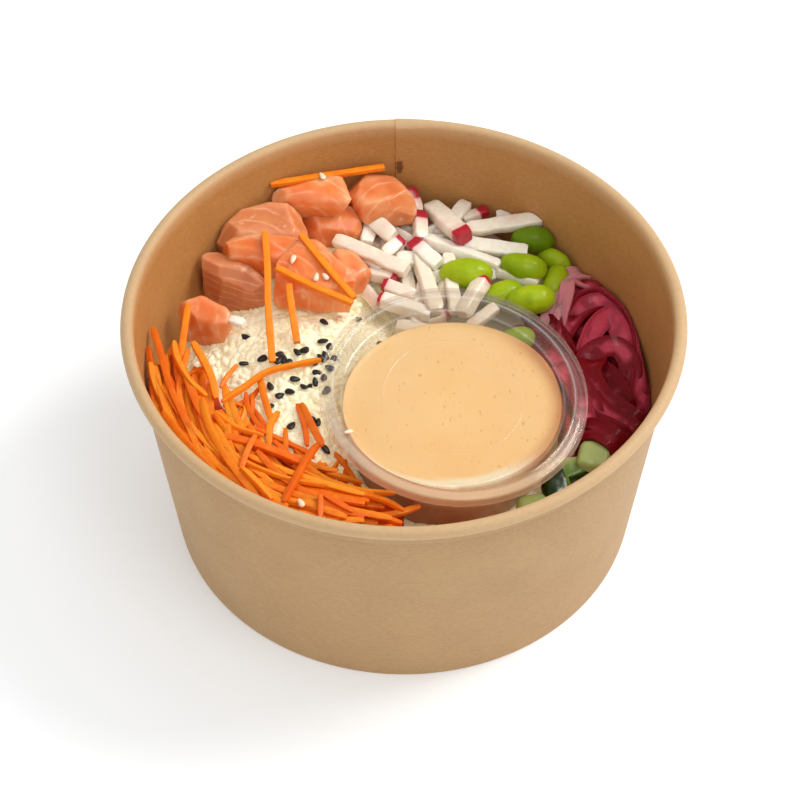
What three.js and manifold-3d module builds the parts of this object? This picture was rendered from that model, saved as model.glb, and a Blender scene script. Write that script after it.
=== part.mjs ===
// A poke bowl: a round kraft-paper bowl filled with rice, salmon, edamame, radish, pickled onion, cucumber
// and carrot, with a lidded clear cup of sauce set in the middle.
// Millimetres, +Z up. The origin is on the table under the middle of the foot ring; +X is the right-hand side
// and -Y the side nearest a person eating from it.
import * as THREE from 'three';
import { ConvexGeometry } from 'three/addons/geometries/ConvexGeometry.js';
import { mergeVertices } from 'three/addons/utils/BufferGeometryUtils.js';
import Module from 'manifold-3d';

const wasm = await Module();
wasm.setup();

// ---------- Driving dimensions ----------

const GAP = 0.3; // clearance between neighbouring pieces
const WELD = 1e-4; // points closer than this are one point

const BOWL = {
  height: 75,
  rim: 75, // outer radius of the rolled rim
  roll: 1.75, // radius of the roll's section
  foot: 64, // outer radius where it stands
  paper: 0.8,
  recess: 3.5, // the base disc sits this far above the table
  base: 1.2,
  sides: 48,
};
const FLOOR = BOWL.recess + BOWL.base;
const WALL_TOP = BOWL.height - 2 * BOWL.roll; // where the wall meets the roll
const WALL_TOP_RADIUS = BOWL.rim - BOWL.roll - BOWL.roll * Math.SQRT1_2;

const CUP = {
  at: [13.3, -15, 60.5], // middle of the lid's flange
  lean: [3.5, 4.1, 0], // degrees about X and Y
  flange: 35.7,
  bead: 32.3, // inner edge of the flange
  panel: 30, // flat middle of the lid
  emboss: 18.7,
  lidDrop: 3, // panel below flange
  skirt: 2.6,
  plastic: 0.8,
  foot: 25.2,
  height: 35,
  sides: 36,
};
const SAUCE_LEVEL = 54;

const GRAIN = { length: 5.6, width: 2.5 };
const BLACK_SEED = { length: 2.9, width: 1.7, thickness: 1.1 };
const WHITE_SEED = { length: 2.8, width: 1.7, thickness: 1.0 };
const CARROT = { width: 2.2, thickness: 1.7 };
const RADISH = { width: 3.9, thickness: 3.4 };
const ONION = { width: 4.2, thickness: 2 };
const CORNER = 0.8; // how round the cut edges of fish and cucumber are

// ---------- Materials ----------

function finish(color, roughness, opacity = 1) {
  const transparent = opacity < 1;
  return new THREE.MeshStandardMaterial({ color, roughness, metalness: 0, opacity, transparent });
}

const kraft = finish('#b98c5a', 0.8);
const clearPlastic = finish('#e9eef0', 0.1, 0.35);
const dressing = finish('#f4bf8a', 0.35);
const riceWhite = finish('#ece6d2', 0.6);
const salmonPink = finish('#ee8250', 0.35);
const carrotOrange = finish('#f07a1c', 0.5);
const radishWhite = finish('#f0e8e0', 0.4);
const beanGreen = finish('#84ac14', 0.35);
const onionCrimson = finish('#861328', 0.3);
const cucumberGreen = finish('#a3bb74', 0.4);

// ---------- Solids ----------

/** The closed solid of a geometry, turned right side out. */
function solidOf(geometry) {
  const bare = geometry.index ? geometry.toNonIndexed() : geometry.clone();
  bare.deleteAttribute('normal');
  bare.deleteAttribute('uv');
  const welded = mergeVertices(bare, WELD);
  const place = welded.attributes.position;
  const corners = [];
  let volume = 0;
  const point = [new THREE.Vector3(), new THREE.Vector3(), new THREE.Vector3()];
  for (let i = 0; i < welded.index.count; i += 3) {
    const [a, b, c] = [0, 1, 2].map((k) => welded.index.getX(i + k));
    if (a === b || b === c || c === a) continue;
    corners.push([a, b, c]);
    [a, b, c].forEach((corner, k) => point[k].fromBufferAttribute(place, corner));
    volume += point[0].dot(point[1].cross(point[2]));
  }
  const outward = volume > 0 ? corners : corners.map(([a, b, c]) => [a, c, b]);
  return new wasm.Manifold(
    new wasm.Mesh({
      numProp: 3,
      vertProperties: new Float32Array(place.array),
      triVerts: new Uint32Array(outward.flat()),
    }),
  );
}

/** The geometry of a solid, flat shaded. */
function geometryOf(solid) {
  const mesh = solid.getMesh();
  const geometry = new THREE.BufferGeometry();
  geometry.setAttribute('position', new THREE.BufferAttribute(new Float32Array(mesh.vertProperties), 3));
  geometry.setIndex(new THREE.BufferAttribute(new Uint32Array(mesh.triVerts), 1));
  geometry.computeVertexNormals();
  return geometry;
}

function join(solids) {
  return solids.reduce((whole, next) => whole.add(next));
}

function cut(solid, tools) {
  return tools.reduce((left, tool) => left.subtract(tool), solid);
}

/** The biggest connected body: what a cut leaves over in scraps is dropped. */
function largest(solid) {
  const bodies = solid.decompose();
  return bodies.reduce((best, body) => (body.volume() > best.volume() ? body : best));
}

/** A solid of revolution about +Z: its outline of [radius, height] points starts and ends on the axis. */
function lathe(outline, sides) {
  const points = outline.map(([radius, height]) => new THREE.Vector2(radius, height));
  return solidOf(new THREE.LatheGeometry(points, sides).rotateX(Math.PI / 2));
}

function placed(geometry, at, turn = [0, 0, 0], scale = [1, 1, 1]) {
  const angles = turn.map(THREE.MathUtils.degToRad);
  const matrix = new THREE.Matrix4().compose(
    new THREE.Vector3(...at),
    new THREE.Quaternion().setFromEuler(new THREE.Euler(...angles, 'ZYX')),
    new THREE.Vector3(...scale),
  );
  return geometry.applyMatrix4(matrix);
}

/** Moves every point of a geometry by a rule. */
function reshape(geometry, rule) {
  const place = geometry.attributes.position;
  const point = new THREE.Vector3();
  for (let i = 0; i < place.count; i += 1) {
    rule(point.fromBufferAttribute(place, i));
    place.setXYZ(i, point.x, point.y, point.z);
  }
  return geometry;
}

/** A bar of the given width and thickness bent along a curve through some points, its flat side up. */
function strip(points, { width, thickness }, { steps = points.length, grow = 0 } = {}) {
  const path = new THREE.CatmullRomCurve3(points.map((p) => new THREE.Vector3(...p)));
  const up = new THREE.Vector3(0, 0, 1);
  const bar = new THREE.BoxGeometry(1, 1, 1, 1, 1, steps);
  const bent = reshape(bar, (p) => {
    const t = p.z + 0.5;
    const middle = path.getPointAt(THREE.MathUtils.clamp(t, 0, 1));
    const along = path.getTangentAt(THREE.MathUtils.clamp(t, 0, 1));
    const side = up.clone().cross(along).normalize();
    const out = along.clone().cross(side);
    middle.addScaledVector(along, (t - 0.5) * 2 * grow);
    middle.addScaledVector(side, p.x * (width + 2 * grow));
    middle.addScaledVector(out, p.y * (thickness + 2 * grow));
    p.copy(middle);
  });
  return solidOf(bent);
}

/** Seeded random numbers from 0 to 1. */
function dice(seed) {
  let state = seed;
  return () => {
    state = (state * 1664525 + 1013904223) % 4294967296;
    return state / 4294967296;
  };
}

const polar = (degrees, radius, z) => {
  const angle = THREE.MathUtils.degToRad(degrees);
  return [radius * Math.cos(angle), radius * Math.sin(angle), z];
};

// ---------- Paper bowl ----------

function wallRadius(z) {
  return BOWL.foot + ((WALL_TOP_RADIUS - BOWL.foot) * z) / WALL_TOP;
}

function paperBowl() {
  const centre = [BOWL.rim - BOWL.roll, BOWL.height - BOWL.roll];
  const rim = [];
  for (let degrees = -135; degrees <= 180; degrees += 45) {
    const angle = THREE.MathUtils.degToRad(degrees);
    rim.push([centre[0] + BOWL.roll * Math.cos(angle), centre[1] + BOWL.roll * Math.sin(angle)]);
  }
  const skirt = 1.6 * BOWL.paper; // the foot is paper folded double
  return lathe(
    [
      [0, BOWL.recess],
      [wallRadius(BOWL.recess) - skirt, BOWL.recess],
      [BOWL.foot - skirt, 0],
      [BOWL.foot, 0],
      ...rim,
      [wallRadius(WALL_TOP - 1) - BOWL.paper, WALL_TOP - 1],
      [wallRadius(FLOOR) - BOWL.paper, FLOOR],
      [0, FLOOR],
    ],
    BOWL.sides,
  );
}

/** The space inside the bowl, less a gap all round. */
function room() {
  const radius = (z) => wallRadius(z) - BOWL.paper - GAP - 0.1;
  const top = WALL_TOP - 1;
  return lathe([[0, FLOOR + GAP], [radius(FLOOR), FLOOR + GAP], [radius(top), top], [0, top]], BOWL.sides);
}

// ---------- Sauce cup ----------

const LID_OUTLINE = [
  [0, -CUP.lidDrop - CUP.plastic],
  [CUP.panel + 0.5, -CUP.lidDrop - CUP.plastic],
  [CUP.bead + 0.6, -CUP.plastic],
  [CUP.flange - 0.8, -CUP.plastic],
  [CUP.flange - 0.6, -CUP.skirt],
  [CUP.flange + 0.2, -CUP.skirt],
  [CUP.flange, 0],
  [CUP.bead, 0],
  [CUP.panel, -CUP.lidDrop],
  [CUP.emboss + 0.4, -CUP.lidDrop],
  [CUP.emboss, 0.4 - CUP.lidDrop],
  [0, 0.4 - CUP.lidDrop],
];

const LIP = { top: -CUP.plastic - GAP, inner: CUP.bead + 1, outer: CUP.flange - 1.3, under: -2.4 };
// the cup narrows below the lid's plug
const LEDGE = { radius: CUP.panel + 1, z: -CUP.lidDrop - CUP.plastic - 0.5 };
const NECK = { radius: CUP.panel - 0.7, z: LEDGE.z - 0.9 };

const CUP_INSIDE = [
  [LIP.inner, LIP.top],
  [LEDGE.radius, LEDGE.z],
  [NECK.radius, NECK.z],
  [CUP.foot - CUP.plastic, -CUP.height + 2 * CUP.plastic],
];

function cupOutline() {
  return [
    [0, -CUP.height + CUP.plastic],
    [CUP.foot - 2, -CUP.height + CUP.plastic],
    [CUP.foot - 1.4, -CUP.height],
    [CUP.foot, -CUP.height],
    [NECK.radius + CUP.plastic, NECK.z - 0.4],
    [LEDGE.radius + CUP.plastic, LEDGE.z - 0.3],
    [LIP.outer - 0.7, LIP.under],
    [LIP.outer, LIP.under],
    [LIP.outer, LIP.top],
    ...CUP_INSIDE,
    [0, -CUP.height + 2 * CUP.plastic],
  ];
}

/** The whole cup and lid as one plug, grown by a gap, to keep the food clear of it. */
function cupEnvelope(grow) {
  const outline = [
    [0, -CUP.height - grow],
    [CUP.foot + grow, -CUP.height - grow],
    [NECK.radius + CUP.plastic + grow, NECK.z],
    [CUP.flange + 0.2 + grow, -CUP.skirt - grow],
    [CUP.flange + 0.2 + grow, grow],
    [0, grow],
  ];
  return lathe(outline, CUP.sides);
}

/** The sauce fills the cup up to its surface, which stays level while the cup leans. */
function sauce(place) {
  const bottom = -CUP.height + 2 * CUP.plastic + GAP;
  const wall = CUP_INSIDE.map(([radius, z]) => [radius - GAP - 0.1, Math.max(z, bottom)]).reverse();
  const fill = lathe([[0, bottom], ...wall, [0, LIP.top]], CUP.sides);
  const under = -CUP.lidDrop - CUP.plastic - GAP;
  const plug = lathe(
    [[0, under], [CUP.panel + 0.5, under], [LIP.inner, LIP.top], [LIP.inner, 1], [0, 1]],
    CUP.sides,
  );
  const air = solidOf(placed(new THREE.BoxGeometry(100, 100, 40), [0, 0, SAUCE_LEVEL + 20]));
  return cut(fill, [plug]).transform(place).subtract(air);
}

// ---------- Pieces of food ----------

/**
 * A cut chunk: the hull of its top corners and the same corners lower down, with rounded edges.
 * top: [x, y, z] of each top corner; drop: how thick it is; spread: how much wider it is at the bottom.
 */
function chunk({ top, drop, spread = 1 }, grow = 0) {
  const middle = top.reduce((sum, p) => sum.add(new THREE.Vector3(...p)), new THREE.Vector3());
  middle.divideScalar(top.length);
  const corners = top.flatMap((p) => {
    const upper = new THREE.Vector3(...p);
    const lower = upper.clone().sub(middle).multiplyScalar(spread).add(middle);
    lower.z = upper.z - drop;
    return [upper, lower];
  });
  const reach = CORNER + grow;
  const round = [];
  const heart = middle.clone().setZ(middle.z - drop / 2);
  for (const corner of corners) {
    const inward = heart.clone().sub(corner).setLength(CORNER * 1.6);
    const centre = corner.clone().add(inward);
    for (const axis of ['x', 'y', 'z']) {
      for (const way of [-1, 1]) {
        const point = centre.clone();
        point[axis] += way * reach;
        round.push(point);
      }
    }
  }
  return solidOf(new ConvexGeometry(round));
}

/** An edamame bean: a plump oval, a little flatter on the side where it sat in the pod. */
function bean({ at, length, turn }, grow = 0) {
  const half = [length / 2, length * 0.33, length * 0.29];
  const oval = new THREE.SphereGeometry(1, 10, 6).rotateX(Math.PI / 2).rotateY(Math.PI / 2);
  reshape(oval, (p) => {
    const fat = 1 + 0.1 * p.x;
    p.set(p.x * (half[0] + grow), p.y * fat * (half[1] + grow), p.z * fat * (half[2] + grow));
    p.y -= 0.1 * half[1] * (1 - (p.x / half[0]) ** 2) * (1 + p.y / half[1]);
  });
  return solidOf(placed(oval, at, turn));
}

/** A small pointed oval, for grains and seeds. */
function kernel(at, turn, { length, width, thickness = width }) {
  const oval = new THREE.SphereGeometry(0.5, 5, 3).rotateZ(Math.PI / 2);
  return solidOf(placed(oval, at, turn, [length, width, thickness]));
}

// ---------- Rice ----------

/** The bed of rice: a low level, and flat-topped mounds on it of a given middle, rise and half widths. */
const BED = 33;
const MOUNDS = [
  { x: -30, y: 6, rise: 15, wide: 34, deep: 34 }, // the heap that shows
  { x: -26, y: 4, rise: 3, wide: 17, deep: 17 }, // its crown
  { x: -30, y: 48, rise: 12, wide: 28, deep: 16 }, // under the fish
  { x: 10, y: 54, rise: 8, wide: 20, deep: 14 }, // under the radish
  { x: 38, y: 42, rise: 8, wide: 14, deep: 14 }, // under the beans
  { x: 58, y: 4, rise: -2, wide: 14, deep: 26 }, // under the onion
  { x: -36, y: -42, rise: 12, wide: 28, deep: 26 }, // under the carrot
  { x: 16, y: -56, rise: 7, wide: 28, deep: 12 }, // in front of the sauce
];

function bedHeight(x, y) {
  const share = (m) => Math.exp(-((((x - m.x) / m.wide) ** 2 + ((y - m.y) / m.deep) ** 2) ** 2));
  return MOUNDS.reduce((z, m) => z + m.rise * share(m), BED);
}

function riceBed(grow = 0) {
  const rings = 7;
  const turns = 26;
  const reach = 76;
  const outline = Array.from({ length: rings + 1 }, (_, ring) => [(ring / rings) * reach, 1]);
  outline.push([reach, 0], [0, 0]);
  const points = outline.map(([radius, z]) => new THREE.Vector2(radius, z));
  const disc = new THREE.LatheGeometry(points, turns).rotateX(Math.PI / 2);
  return solidOf(
    reshape(disc, (p) => {
      p.z *= bedHeight(p.x, p.y) + grow;
    }),
  );
}

/** Loose grains over the part of the mound that shows, evenly spread by the golden angle. */
const GRAINS = { count: 36, x: -29, y: 5, wide: 25, deep: 27 };
const GOLDEN_ANGLE = 2.399963;

function grains(grow = 0) {
  const random = dice(7);
  const size = { length: GRAIN.length + 2 * grow, width: GRAIN.width + 2 * grow };
  return Array.from({ length: GRAINS.count }, (_, i) => {
    const spread = Math.sqrt((i + 0.5) / GRAINS.count);
    const x = GRAINS.x + GRAINS.wide * spread * Math.cos(i * GOLDEN_ANGLE);
    const y = GRAINS.y + GRAINS.deep * spread * Math.sin(i * GOLDEN_ANGLE);
    const turn = [random() * 40 - 20, random() * 40 - 20, random() * 180];
    return kernel([x, y, bedHeight(x, y) + 0.2], turn, size);
  });
}

/** Black sesame on the rice, in the clusters in which it was strewn. */
const BLACK_SEEDS = [
  [-44.5, 22.5], [-44, 8.5], [-38.5, 6.5], [-34, 9], [-36, 4.5], [-31.5, 4.5], [-34, 1], [-29.5, 9],
  [-26, 9], [-22, 13], [-19, 10.5], [-21.5, 7.5], [-24, 5], [-22, 22.5], [-29.5, -1.5], [-30.5, -6],
  [-34.5, -6], [-38, -3], [-36.5, -9.5], [-26.5, -5], [-24, -2], [-24, -12.5], [-42, -14], [-30.5, -14],
  [-21, -18],
];

function blackSeeds() {
  const random = dice(3);
  return BLACK_SEEDS.map(([x, y]) => {
    const turn = [random() * 30 - 15, random() * 30 - 15, random() * 180];
    return kernel([x, y, bedHeight(x, y) + 0.1], turn, BLACK_SEED);
  });
}

// ---------- Salmon ----------

const SALMON = [
  { top: [[-32.5, 60, 62], [-19.5, 65, 62], [-16.5, 56, 61], [-34.5, 58, 61]], drop: 7 },
  { top: [[-16, 65.5, 59], [-3, 67.5, 58.5], [2, 59.5, 57.5], [-11, 56, 58]], drop: 8 },
  {
    top: [[-28, 55.5, 54], [-24.5, 61, 54], [-14.5, 61, 54], [-13.5, 53.5, 53.5], [-23.5, 52, 53.5]],
    drop: 10,
  },
  { top: [[-52, 39, 58], [-45.5, 43, 59], [-29, 42, 60], [-28, 39, 59.5], [-35.5, 35.5, 59]], drop: 8 },
  {
    top: [[-50, 44, 60], [-45, 51, 60.5], [-38, 53.5, 61], [-31.5, 52.5, 60.5], [-29, 44, 60]],
    drop: 11,
  },
  {
    top: [
      [-28.5, 40, 60.5], [-24.5, 40, 60.5], [-13, 27.5, 59],
      [-14, 23.5, 58], [-35, 26, 57.5], [-35, 33, 59],
    ],
    drop: 8,
    seeds: [[-30.5, 34.5, 59.3], [-24, 28.5, 58.4], [-21.5, 28, 58.4]],
  },
  {
    top: [[-55, 38.5, 56], [-48, 38.5, 56.5], [-38.5, 31, 54.5], [-39.5, 29.5, 53.5], [-55, 35, 55]],
    drop: 13,
  },
  { top: [[-19.5, 43, 54], [-14.5, 43.5, 53.5], [-9.5, 37, 52], [-14.5, 32.5, 52]], drop: 7 },
  {
    top: [[-61.5, 22.5, 54], [-56, 25, 54.5], [-47.5, 20, 53], [-48, 15.5, 52], [-61, 19, 53]],
    drop: 10,
  },
];

// ---------- Edamame ----------

const BEANS = [
  { at: [37, 54, 47.5], length: 13, turn: [0, 8, 6] },
  { at: [33.8, 43, 47.5], length: 13.5, turn: [10, 6, -12] },
  { at: [17.5, 39.5, 48.5], length: 15, turn: [-10, 0, 0] },
  { at: [45, 49.5, 43.5], length: 11.5, turn: [0, 0, -30] },
  { at: [44, 38.5, 42.5], length: 12, turn: [0, 0, 70] },
  { at: [35.5, 31.5, 46.5], length: 14, turn: [8, 0, 6] },
  { at: [25, 33.5, 43.5], length: 12, turn: [0, 0, 20] },
];

// ---------- Cucumber ----------

const CUCUMBER = [
  { top: [[46, -22, 44], [54, -23, 44], [55, -16, 44.5], [48, -15, 44.5]], drop: 9, spread: 1 },
  { top: [[48, -31, 41], [56, -28, 42], [55, -24.5, 43], [46, -25, 43]], drop: 8, spread: 1 },
  { top: [[41, -36, 42], [47, -34, 42], [44.5, -27, 43], [40, -30, 43]], drop: 8, spread: 1 },
  { top: [[34, -42, 41], [41, -41, 41], [38.5, -36, 42], [33, -37, 42]], drop: 8, spread: 1 },
];

// ---------- Heaps along the wall ----------

/**
 * The hidden middle of a heap: a bar bent round the bowl from one bearing to another, in degrees from +X,
 * with a domed top. inner is its inner radius at either end, outer the other radius, low and high are heights.
 */
function core({ from, to, inner, outer, low, high }) {
  const bar = new THREE.BoxGeometry(1, 1, 1, 10, 3, 1);
  return solidOf(
    reshape(bar, (p) => {
      const near = THREE.MathUtils.lerp(inner[1], inner[0], p.x + 0.5);
      const radius = THREE.MathUtils.lerp(near, outer, p.y + 0.5);
      const dome = 1 - 0.2 * (2 * p.x) ** 4 - 0.1 * (2 * p.y) ** 2;
      const z = p.z > 0 ? low + (high - low) * dome : low;
      p.set(...polar(to + (from - to) * (p.x + 0.5), radius, z));
    }),
  );
}

function laid(routes, size, options = {}) {
  return (grow) => routes.map((route) => strip(route, size, { ...options, grow }));
}

const CARROT_CORE = { from: 172, to: 276, inner: [52, 34], outer: 72, low: 30, high: 55.5 };
const CARROTS = [
  [[-68, 9.5, 58], [-65.5, 1, 58], [-62.5, -10, 57], [-58, -21.5, 56], [-52, -34.5, 55]],
  [[-69, 3.5, 57], [-67, -6.5, 57], [-63, -16, 56], [-58.5, -26, 55], [-54, -32, 54]],
  [[-65, -1, 56], [-60.5, -12, 55.5], [-55, -24, 55], [-51, -30, 54]],
  [[-59, 19.5, 57], [-59.5, 10.5, 57], [-60, 3, 56], [-60, -5, 54]],
  [[-62, 4, 59], [-61, -1.5, 58.5], [-57, -9.5, 58], [-52.5, -14, 57]],
  [[-57, 5.5, 57], [-54, -0.5, 56.5], [-51.5, -6.5, 56.5], [-52, -14, 56.2]],
  [[-53.5, -15.5, 58], [-51.5, -24, 58], [-48, -32, 57], [-42.5, -42.5, 56]],
  [[-45, -1, 55], [-47, -6, 55.5], [-51, -12, 56]],
  [[-48.5, -15, 56], [-42.5, -9.5, 56], [-36, -4, 56], [-22.5, 1, 55]],
  [[-39, -4, 55], [-37.5, -11.5, 55], [-35, -21, 54]],
  [[-39, -10.5, 56.5], [-42, -16, 56], [-44.5, -22.5, 55.5]],
  [[-50, -18, 55.5], [-44.5, -23.5, 55.5], [-37, -26, 55]],
  [[-48, -27, 56], [-40, -29.5, 56], [-32.5, -32.5, 55.5], [-26.5, -35.5, 55]],
  [[-51.5, -26, 56.5], [-43, -35.5, 57], [-31, -42, 57], [-19, -44, 56]],
  [[-47.5, -32.5, 55], [-39.5, -38, 55], [-27, -44.5, 55], [-14, -47, 54]],
  [[-27, -42, 55.5], [-15.5, -45, 55.5], [-6, -47.5, 55], [0, -50.5, 54]],
  [[-21.5, -47, 57], [-17, -50.5, 57], [-13, -53, 56.5]],
  [[-22.5, -29.5, 56], [-25.5, -36.5, 57.5], [-28.5, -44.5, 58], [-31, -50.5, 57.5]],
  [[-15.5, -34.5, 55], [-15.5, -44.5, 55]],
  [[-39, -28, 57.5], [-41, -34, 58], [-42.5, -41, 58]],
  [[-35.5, -30.5, 56], [-35.5, -24, 56.5], [-33.5, -18.5, 56]],
  [[-28.5, -15, 54], [-26.5, -22.5, 55], [-26, -29, 55.5], [-26.5, -36, 55.5]],
  [[-47.5, -33.5, 57.5], [-43, -41, 57.5], [-37.5, -49, 57]],
];

/** More shreds between those and the wall, each along an arc of its own. */
function wallCarrots(count) {
  const random = dice(11);
  return Array.from({ length: count }, (_, i) => {
    const start = CARROT_CORE.from + 18 + (i / count) * 70 + random() * 6;
    const radius = 54 + 13 * ((i * 0.618) % 1);
    const drift = random() * 8 - 4;
    const z = 53.8 + 1.8 * random();
    return [-1, 0, 1].map((k) => polar(start + 12 + 12 * k, radius + drift * k * 0.5, k === 0 ? z + 0.8 : z));
  });
}

const LOOSE_CARROTS = [
  [[-37.5, 59.5, 63.5], [-5.5, 68, 62]],
  [[-38.5, 42, 62], [-37.5, 29.5, 60], [-37, 17.5, 57], [-35.5, 1, 54]],
  [[-28.5, 41, 62], [-20.5, 29, 60.8], [-13.5, 19.5, 59.3]],
  [[-35, 30, 60.3], [-25.5, 24, 59.8], [-14, 18, 59]],
  [[-31.5, 25, 58.9], [-31, 20.5, 57.5], [-29, 8, 54]],
];

const RADISH_CORE = { from: 64, to: 112, inner: [26, 26], outer: 66, low: 30, high: 49 };
const RADISHES = [
  [[-19.5, 50.5, 50], [1, 38.5, 50]],
  [[-11.5, 59.5, 52], [-3, 50.5, 51.5]],
  [[-9.5, 58.5, 49.5], [-10.5, 50, 49.5]],
  [[2, 67.5, 51.5], [4, 62, 49]],
  [[4.5, 61.5, 49.5], [5, 52, 49]],
  [[2, 49.5, 50], [10, 41, 50]],
  [[7.5, 66, 49], [17, 50, 51]],
  [[18, 65.5, 50], [12.5, 56.5, 49]],
  [[18, 60.5, 48.5], [24, 63.5, 49]],
  [[18, 54.5, 50.5], [39, 58, 51]],
  [[17.5, 51, 48.5], [34, 48.5, 48]],
  [[6, 52.5, 48.5], [27, 42.5, 48]],
  [[22.5, 36.5, 48.5], [16, 24, 48]],
  [[4, 45.5, 49], [9, 24.5, 48.5]],
  [[-6, 34.5, 49], [3, 30.5, 48.5]],
  [[-7, 29.5, 48.5], [7.5, 24, 48]],
  [[-5.5, 46.5, 49], [-0.5, 52, 49]],
  [[12.5, 46.5, 48], [14.5, 25, 47.5]],
];

const ONION_CORE = { from: -34, to: 42, inner: [36, 40], outer: 68, low: 28, high: 41.5 };
const ONIONS = [
  [[49.5, 42.5, 44.5], [44.5, 40.5, 45.5], [42.5, 34.5, 44.5], [41, 28, 43]],
  [
    [44, 30.5, 43.5], [47.5, 36, 44.5], [54.5, 37, 45], [60, 32, 44.5],
    [63, 26, 43.5], [65, 17, 42], [65, 9, 41], [63.5, -3, 40],
  ],
  [
    [47, 27.5, 42.5], [52, 32, 44], [57.5, 31, 44], [60, 25, 43.5],
    [61, 19, 42.5], [61, 11.5, 42], [61, 5, 41],
  ],
  [[51, 17, 42.5], [53, 22, 44], [56, 26, 43.5], [58, 22.5, 43], [58.5, 18, 42]],
  [[50, 11, 43], [53.5, 14, 44.5], [58.5, 14.5, 44], [61, 11.5, 43], [61, 7, 42]],
  [[52, 10.5, 44], [50.5, 4, 45], [53, -3.5, 45], [57, -7, 44], [61, -10, 43]],
  [[50, -1, 44], [53, -7.5, 45], [58.5, -13, 44.5], [61, -15, 43.5]],
  [[47, -11, 43], [53, -12.5, 44], [60, -17, 42.5]],
  [[53, 9, 42.5], [57, 4.5, 42.5], [59.5, -1.5, 42]],
];

// ---------- Assembly ----------

const bowl = new THREE.Group();
bowl.name = 'poke_bowl';

function addPiece(name, solid, material, parent = bowl) {
  const mesh = new THREE.Mesh(geometryOf(largest(solid)), material);
  mesh.name = name;
  parent.add(mesh);
  return mesh;
}

const sauceCup = new THREE.Group();
sauceCup.position.set(...CUP.at);
sauceCup.rotation.set(...CUP.lean.map(THREE.MathUtils.degToRad));
sauceCup.updateMatrix();
const cupPlace = sauceCup.matrix.toArray();
bowl.add(sauceCup);

addPiece('paper_bowl', paperBowl(), kraft);
addPiece('sauce_cup', lathe(cupOutline(), CUP.sides), clearPlastic, sauceCup);
addPiece('sauce_lid', lathe(LID_OUTLINE, CUP.sides), clearPlastic, sauceCup);
addPiece('sauce', sauce(cupPlace), dressing);

const inside = room();
const taken = [cupEnvelope(GAP).transform(cupPlace)]; // grown copies of what is already in the bowl

/** Adds a single piece of food, cut clear of the pieces before it. make(grow) gives it that much larger. */
function addFood(name, make, material, toppings = []) {
  addPiece(name, cut(join([make(0), ...toppings]).intersect(inside), taken), material);
  taken.push(make(GAP));
}

SALMON.forEach((piece, i) => {
  const seeds = (piece.seeds ?? []).map((at, k) => kernel(at, [0, 0, 60 + 70 * k], WHITE_SEED));
  addFood(`salmon_${i + 1}`, (grow) => chunk(piece, grow), salmonPink, seeds);
});
BEANS.forEach((piece, i) => addFood(`edamame_${i + 1}`, (grow) => bean(piece, grow), beanGreen));
CUCUMBER.forEach((piece, i) => addFood(`cucumber_${i + 1}`, (grow) => chunk(piece, grow), cucumberGreen));
LOOSE_CARROTS.forEach((route, i) => {
  addFood(`carrot_${i + 1}`, (grow) => strip(route, CARROT, { grow }), carrotOrange);
});

const grownRice = [riceBed(GAP), ...grains(GAP)];

/** Adds a heap: its core fitted to the rice below, with the pieces that show fused on. */
function addHeap(name, shape, pieces, material) {
  const showing = pieces(0);
  addPiece(name, cut(join([cut(core(shape), grownRice), ...showing]).intersect(inside), taken), material);
  taken.push(...pieces(GAP));
}

addHeap('radish_sticks', RADISH_CORE, laid(RADISHES, RADISH, { steps: 1 }), radishWhite);
addHeap('pickled_onion', ONION_CORE, laid(ONIONS, ONION), onionCrimson);
addHeap('carrot_shreds', CARROT_CORE, laid([...CARROTS, ...wallCarrots(8)], CARROT), carrotOrange);
addPiece('rice', cut(join([riceBed(), ...grains(), ...blackSeeds()]).intersect(inside), taken), riceWhite);

export default bowl;
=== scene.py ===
# %% [markdown]
# # A poke bowl in kraft paper
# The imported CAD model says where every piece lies. This lesson dresses it: paper, clear plastic, sauce, rice,
# fish and vegetables. Sizes are in millimetres, and Blender counts in metres, so MM turns one into the other.

# %% The frame
import math

import bmesh
import bpy
import numpy as np
from mathutils import Matrix, Vector, noise
from mathutils.bvhtree import BVHTree


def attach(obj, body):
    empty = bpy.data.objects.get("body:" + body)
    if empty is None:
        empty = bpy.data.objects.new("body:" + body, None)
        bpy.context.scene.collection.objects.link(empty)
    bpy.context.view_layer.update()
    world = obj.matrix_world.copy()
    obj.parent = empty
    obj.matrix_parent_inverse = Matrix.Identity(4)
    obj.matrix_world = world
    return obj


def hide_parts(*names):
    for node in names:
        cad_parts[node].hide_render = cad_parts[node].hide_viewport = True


MM = 0.001
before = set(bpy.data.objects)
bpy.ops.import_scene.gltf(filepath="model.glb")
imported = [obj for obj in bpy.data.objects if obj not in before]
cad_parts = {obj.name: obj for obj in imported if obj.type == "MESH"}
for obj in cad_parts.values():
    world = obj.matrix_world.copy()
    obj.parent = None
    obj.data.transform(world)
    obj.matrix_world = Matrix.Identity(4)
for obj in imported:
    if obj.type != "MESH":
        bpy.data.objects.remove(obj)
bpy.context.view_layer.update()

# %% [markdown]
# ## The camera
# The bowl is seen from above its front edge through a long lens, so its rim is nearly a true ellipse. The
# camera backs away from a point inside the bowl along one direction, which is also its own Z axis.

# %% The camera
LOOK_DOWN = math.radians(48.96)
CAMERA_DISTANCE = 779.8
CAMERA_TARGET = Vector((-1.03, 8.22, 30))
LENS = 126.04  # of a 36 mm wide sensor


def linked(name, data):
    """A new object in the scene."""
    thing = bpy.data.objects.new(name, data)
    bpy.context.scene.collection.objects.link(thing)
    return thing


def aimed(name, data, at, target):
    """A camera or a light at a point, looking at another."""
    thing = linked(name, data)
    thing.location = at * MM
    thing.rotation_euler = (at - target).to_track_quat("Z", "Y").to_euler()
    return thing


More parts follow.
